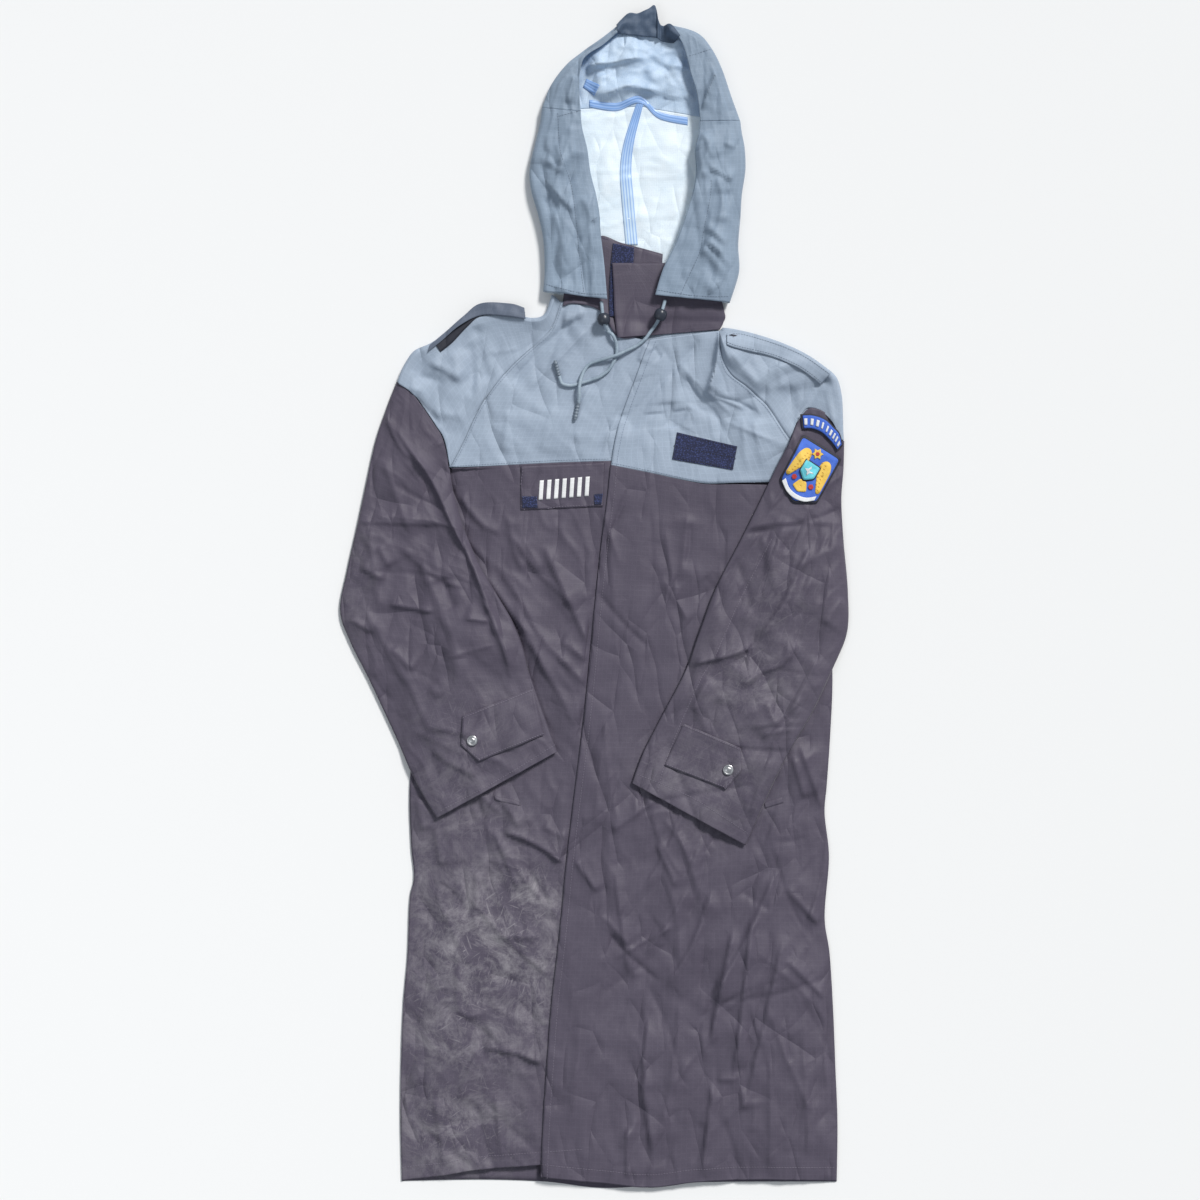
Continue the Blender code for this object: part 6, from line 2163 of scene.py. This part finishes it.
@dataclass
class Studio:
    """Floor, lights and camera."""

    lens: float = 85.0
    height: float = 3.977
    centre: tuple = (0.007, -0.004)

    def lamp(self, name: str, kind: str, place: tuple, power: float, colour: tuple, **shape_of_lamp) -> None:
        """One soft light that looks at the middle of the coat.

        Args:
            name: the lamp's name.
            kind: Blender's type of lamp.
            place: where it stands. A sun only takes its direction from it.
            power: its strength.
            colour: its colour.
            shape_of_lamp: how wide it is, in the lamp's own properties.
        """
        data = bpy.data.lights.new(name, kind)
        data.energy = power
        data.color = colour
        for key, value in shape_of_lamp.items():
            setattr(data, key, value)
        lamp = linked(name, data)
        lamp.location = place
        lamp.rotation_euler = (-Vector(place)).to_track_quat("-Z", "Y").to_euler()

    def build(self) -> None:
        """Sets up everything that isn't the coat."""
        bpy.ops.mesh.primitive_plane_add(size=14.0, location=(0.0, 0.0, -0.0002))
        floor = bpy.context.object
        floor.name = "studio_floor"
        paper = bpy.data.materials.new("studio_paper")
        paper.use_nodes = True
        shader = paper.node_tree.nodes["Principled BSDF"]
        shader.inputs["Base Color"].default_value = (0.86, 0.86, 0.86, 1.0)
        shader.inputs["Roughness"].default_value = 0.9
        floor.data.materials.append(paper)
        self.lamp("key_light", "SUN", (1.6, 2.35, 2.55), 3.2, (1.0, 0.985, 0.96), angle=math.radians(13.0))
        self.lamp("fill_light", "AREA", (-1.8, -0.8, 2.8), 10.0, (0.94, 0.97, 1.0), shape="SQUARE", size=1.8)
        world = bpy.data.worlds.new("studio_world")
        world.use_nodes = True
        sky = world.node_tree.nodes["Background"].inputs
        sky["Color"].default_value = (0.86, 0.93, 1.0, 1.0)
        sky["Strength"].default_value = 0.37
        bpy.context.scene.world = world
        bpy.context.scene.view_settings.view_transform = "Standard"
        data = bpy.data.cameras.new("camera")
        data.lens = self.lens
        data.sensor_width = 36.0
        camera = linked("camera", data)
        camera.location = (*self.centre, self.height)
        bpy.context.scene.camera = camera


def seam_lines() -> list:
    """Every row of stitches: its name, lines, cloth, thread and slot.

    Returns:
        A tuple for each piece.
    """
    above_hem, above_seam = mm((0, 18)), mm((0, 3))
    fronts = [
        offset_line(BODY[:, 2:4], 0.009), HEM_LEFT + above_hem,
        np.vstack([HEM_RIGHT[:-1] + above_hem, mm((334, -800))]),
    ]
    yokes = [
        np.vstack([YOKE_SEAM_LEFT[:2] + above_seam, mm((18, 193.5))]), YOKE_SEAM_RIGHT + above_seam,
        offset_line(YOKE_RIGHT_EDGE, -0.008), offset_line(CAP_LEFT, -0.003), offset_line(CAP_RIGHT, 0.003),
    ]
    sleeves = [
        mm((246, 80), (224, 38), (196, -18), (168, -81), (147, -116), (120, -176), (97, -235), (88, -270)),
        mm((-215, -298), (-135, -255), (-57, -207)), mm((60, -248), (135, -280), (213, -330)),
    ]
    tabs = []
    for rows, inward in ((TAB_LEFT, 0.0026), (TAB_RIGHT, -0.0026)):
        tabs.append(offset_line(rows[[0, 2]], inward))
        tabs += [offset_line(ends, -inward) for ends in (rows[:2, 2:], rows[1:, 2:])]
    flap = [mm((-101, 180), (-101, 124.5), (-45, 127), (9, 129.5))]
    hood = [
        mm((-52, 675), (-49, 626), (-42, 601), (-32, 570), (-25, 514), (-22, 479), (-17, 437), (-14, 416)),
        mm((116, 416), (147, 483), (150, 501), (161, 559), (162, 581)),
        mm((16, 423), (-14, 424), (-45, 430), (-70, 438)), mm((86, 429), (117, 424), (150, 420), (185, 420)),
        mm((-49, 672), (-21, 679)), mm((-3, 525), (7, 532)), mm((133, 756), (160, 765)),
    ]
    epaulettes = []
    for rows in (EPAULETTE_LEFT, EPAULETTE_RIGHT):
        epaulettes += [offset_line(rows, 0.003), offset_line(rows[:, 2:], -0.003)]
    hook = [
        mm((116.5, 228.5), (197.5, 209.5)), mm((110, 195.5), (192.5, 180.5)), mm((111.5, 212), (196, 194.5)),
    ]
    hole = [mm((187.8, 365), (193, 367.8), (198.2, 366.2)), mm((198.2, 366.2), (193, 363.2), (187.8, 365))]
    return [
        ("fronts", fronts, ("front_left", "front_right"), THREAD_DARK, "dark_cloth"),
        ("yokes", yokes, ("yoke_left", "yoke_right", "cap_left", "cap_right"), THREAD_YOKE, "blue_cloth"),
        ("sleeves", sleeves, ("sleeve_left", "sleeve_right"), THREAD_DARK, "dark_cloth"),
        ("tabs", tabs, ("cuff_tab_left", "cuff_tab_right"), THREAD_DARK, "dark_cloth"),
        ("flap", flap, ("chest_flap",), THREAD_DARK, "dark_cloth"),
        ("hood", hood, ("hood_left", "hood_right", "hood_crown"), THREAD_BLUE, "blue_cloth"),
        ("epaulettes", epaulettes, ("epaulette_left", "epaulette_right"), THREAD_BLUE, "blue_cloth"),
        ("hook_panel", hook, ("chest_hook",), BADGE_BLACK, "hook_tape"),
        ("buttonhole", hole, ("epaulette_right",), THREAD_DARK, "blue_cloth"),
    ]


def main() -> None:
    """Builds the studio and the coat, from the surface up."""
    logging.basicConfig(level=logging.INFO, format="%(name)s: %(message)s")
    Studio().build()
    shop = Workshop(ShaderBench(), LaidCloth())
    fronts, badges = Fronts(shop), Badges(shop)
    sleeves = Sleeves(shop, fronts)
    for part in (fronts, sleeves, Hood(shop), Collar(shop), Trims(shop), badges, Fittings(shop)):
        part.build()
    stitching = Stitching(shop)
    for name, courses, under, finish, slot in seam_lines():
        stitching.rows("stitches_" + name, courses, [node + "_cloth" for node in under], finish, slot)
    stitching.rows("stitches_sprays", badges.feathers(), ["badge_spray_left", "badge_spray_right"],
                   THREAD_GOLD, "badge_cloth")


if __name__ == "__main__":
    main()
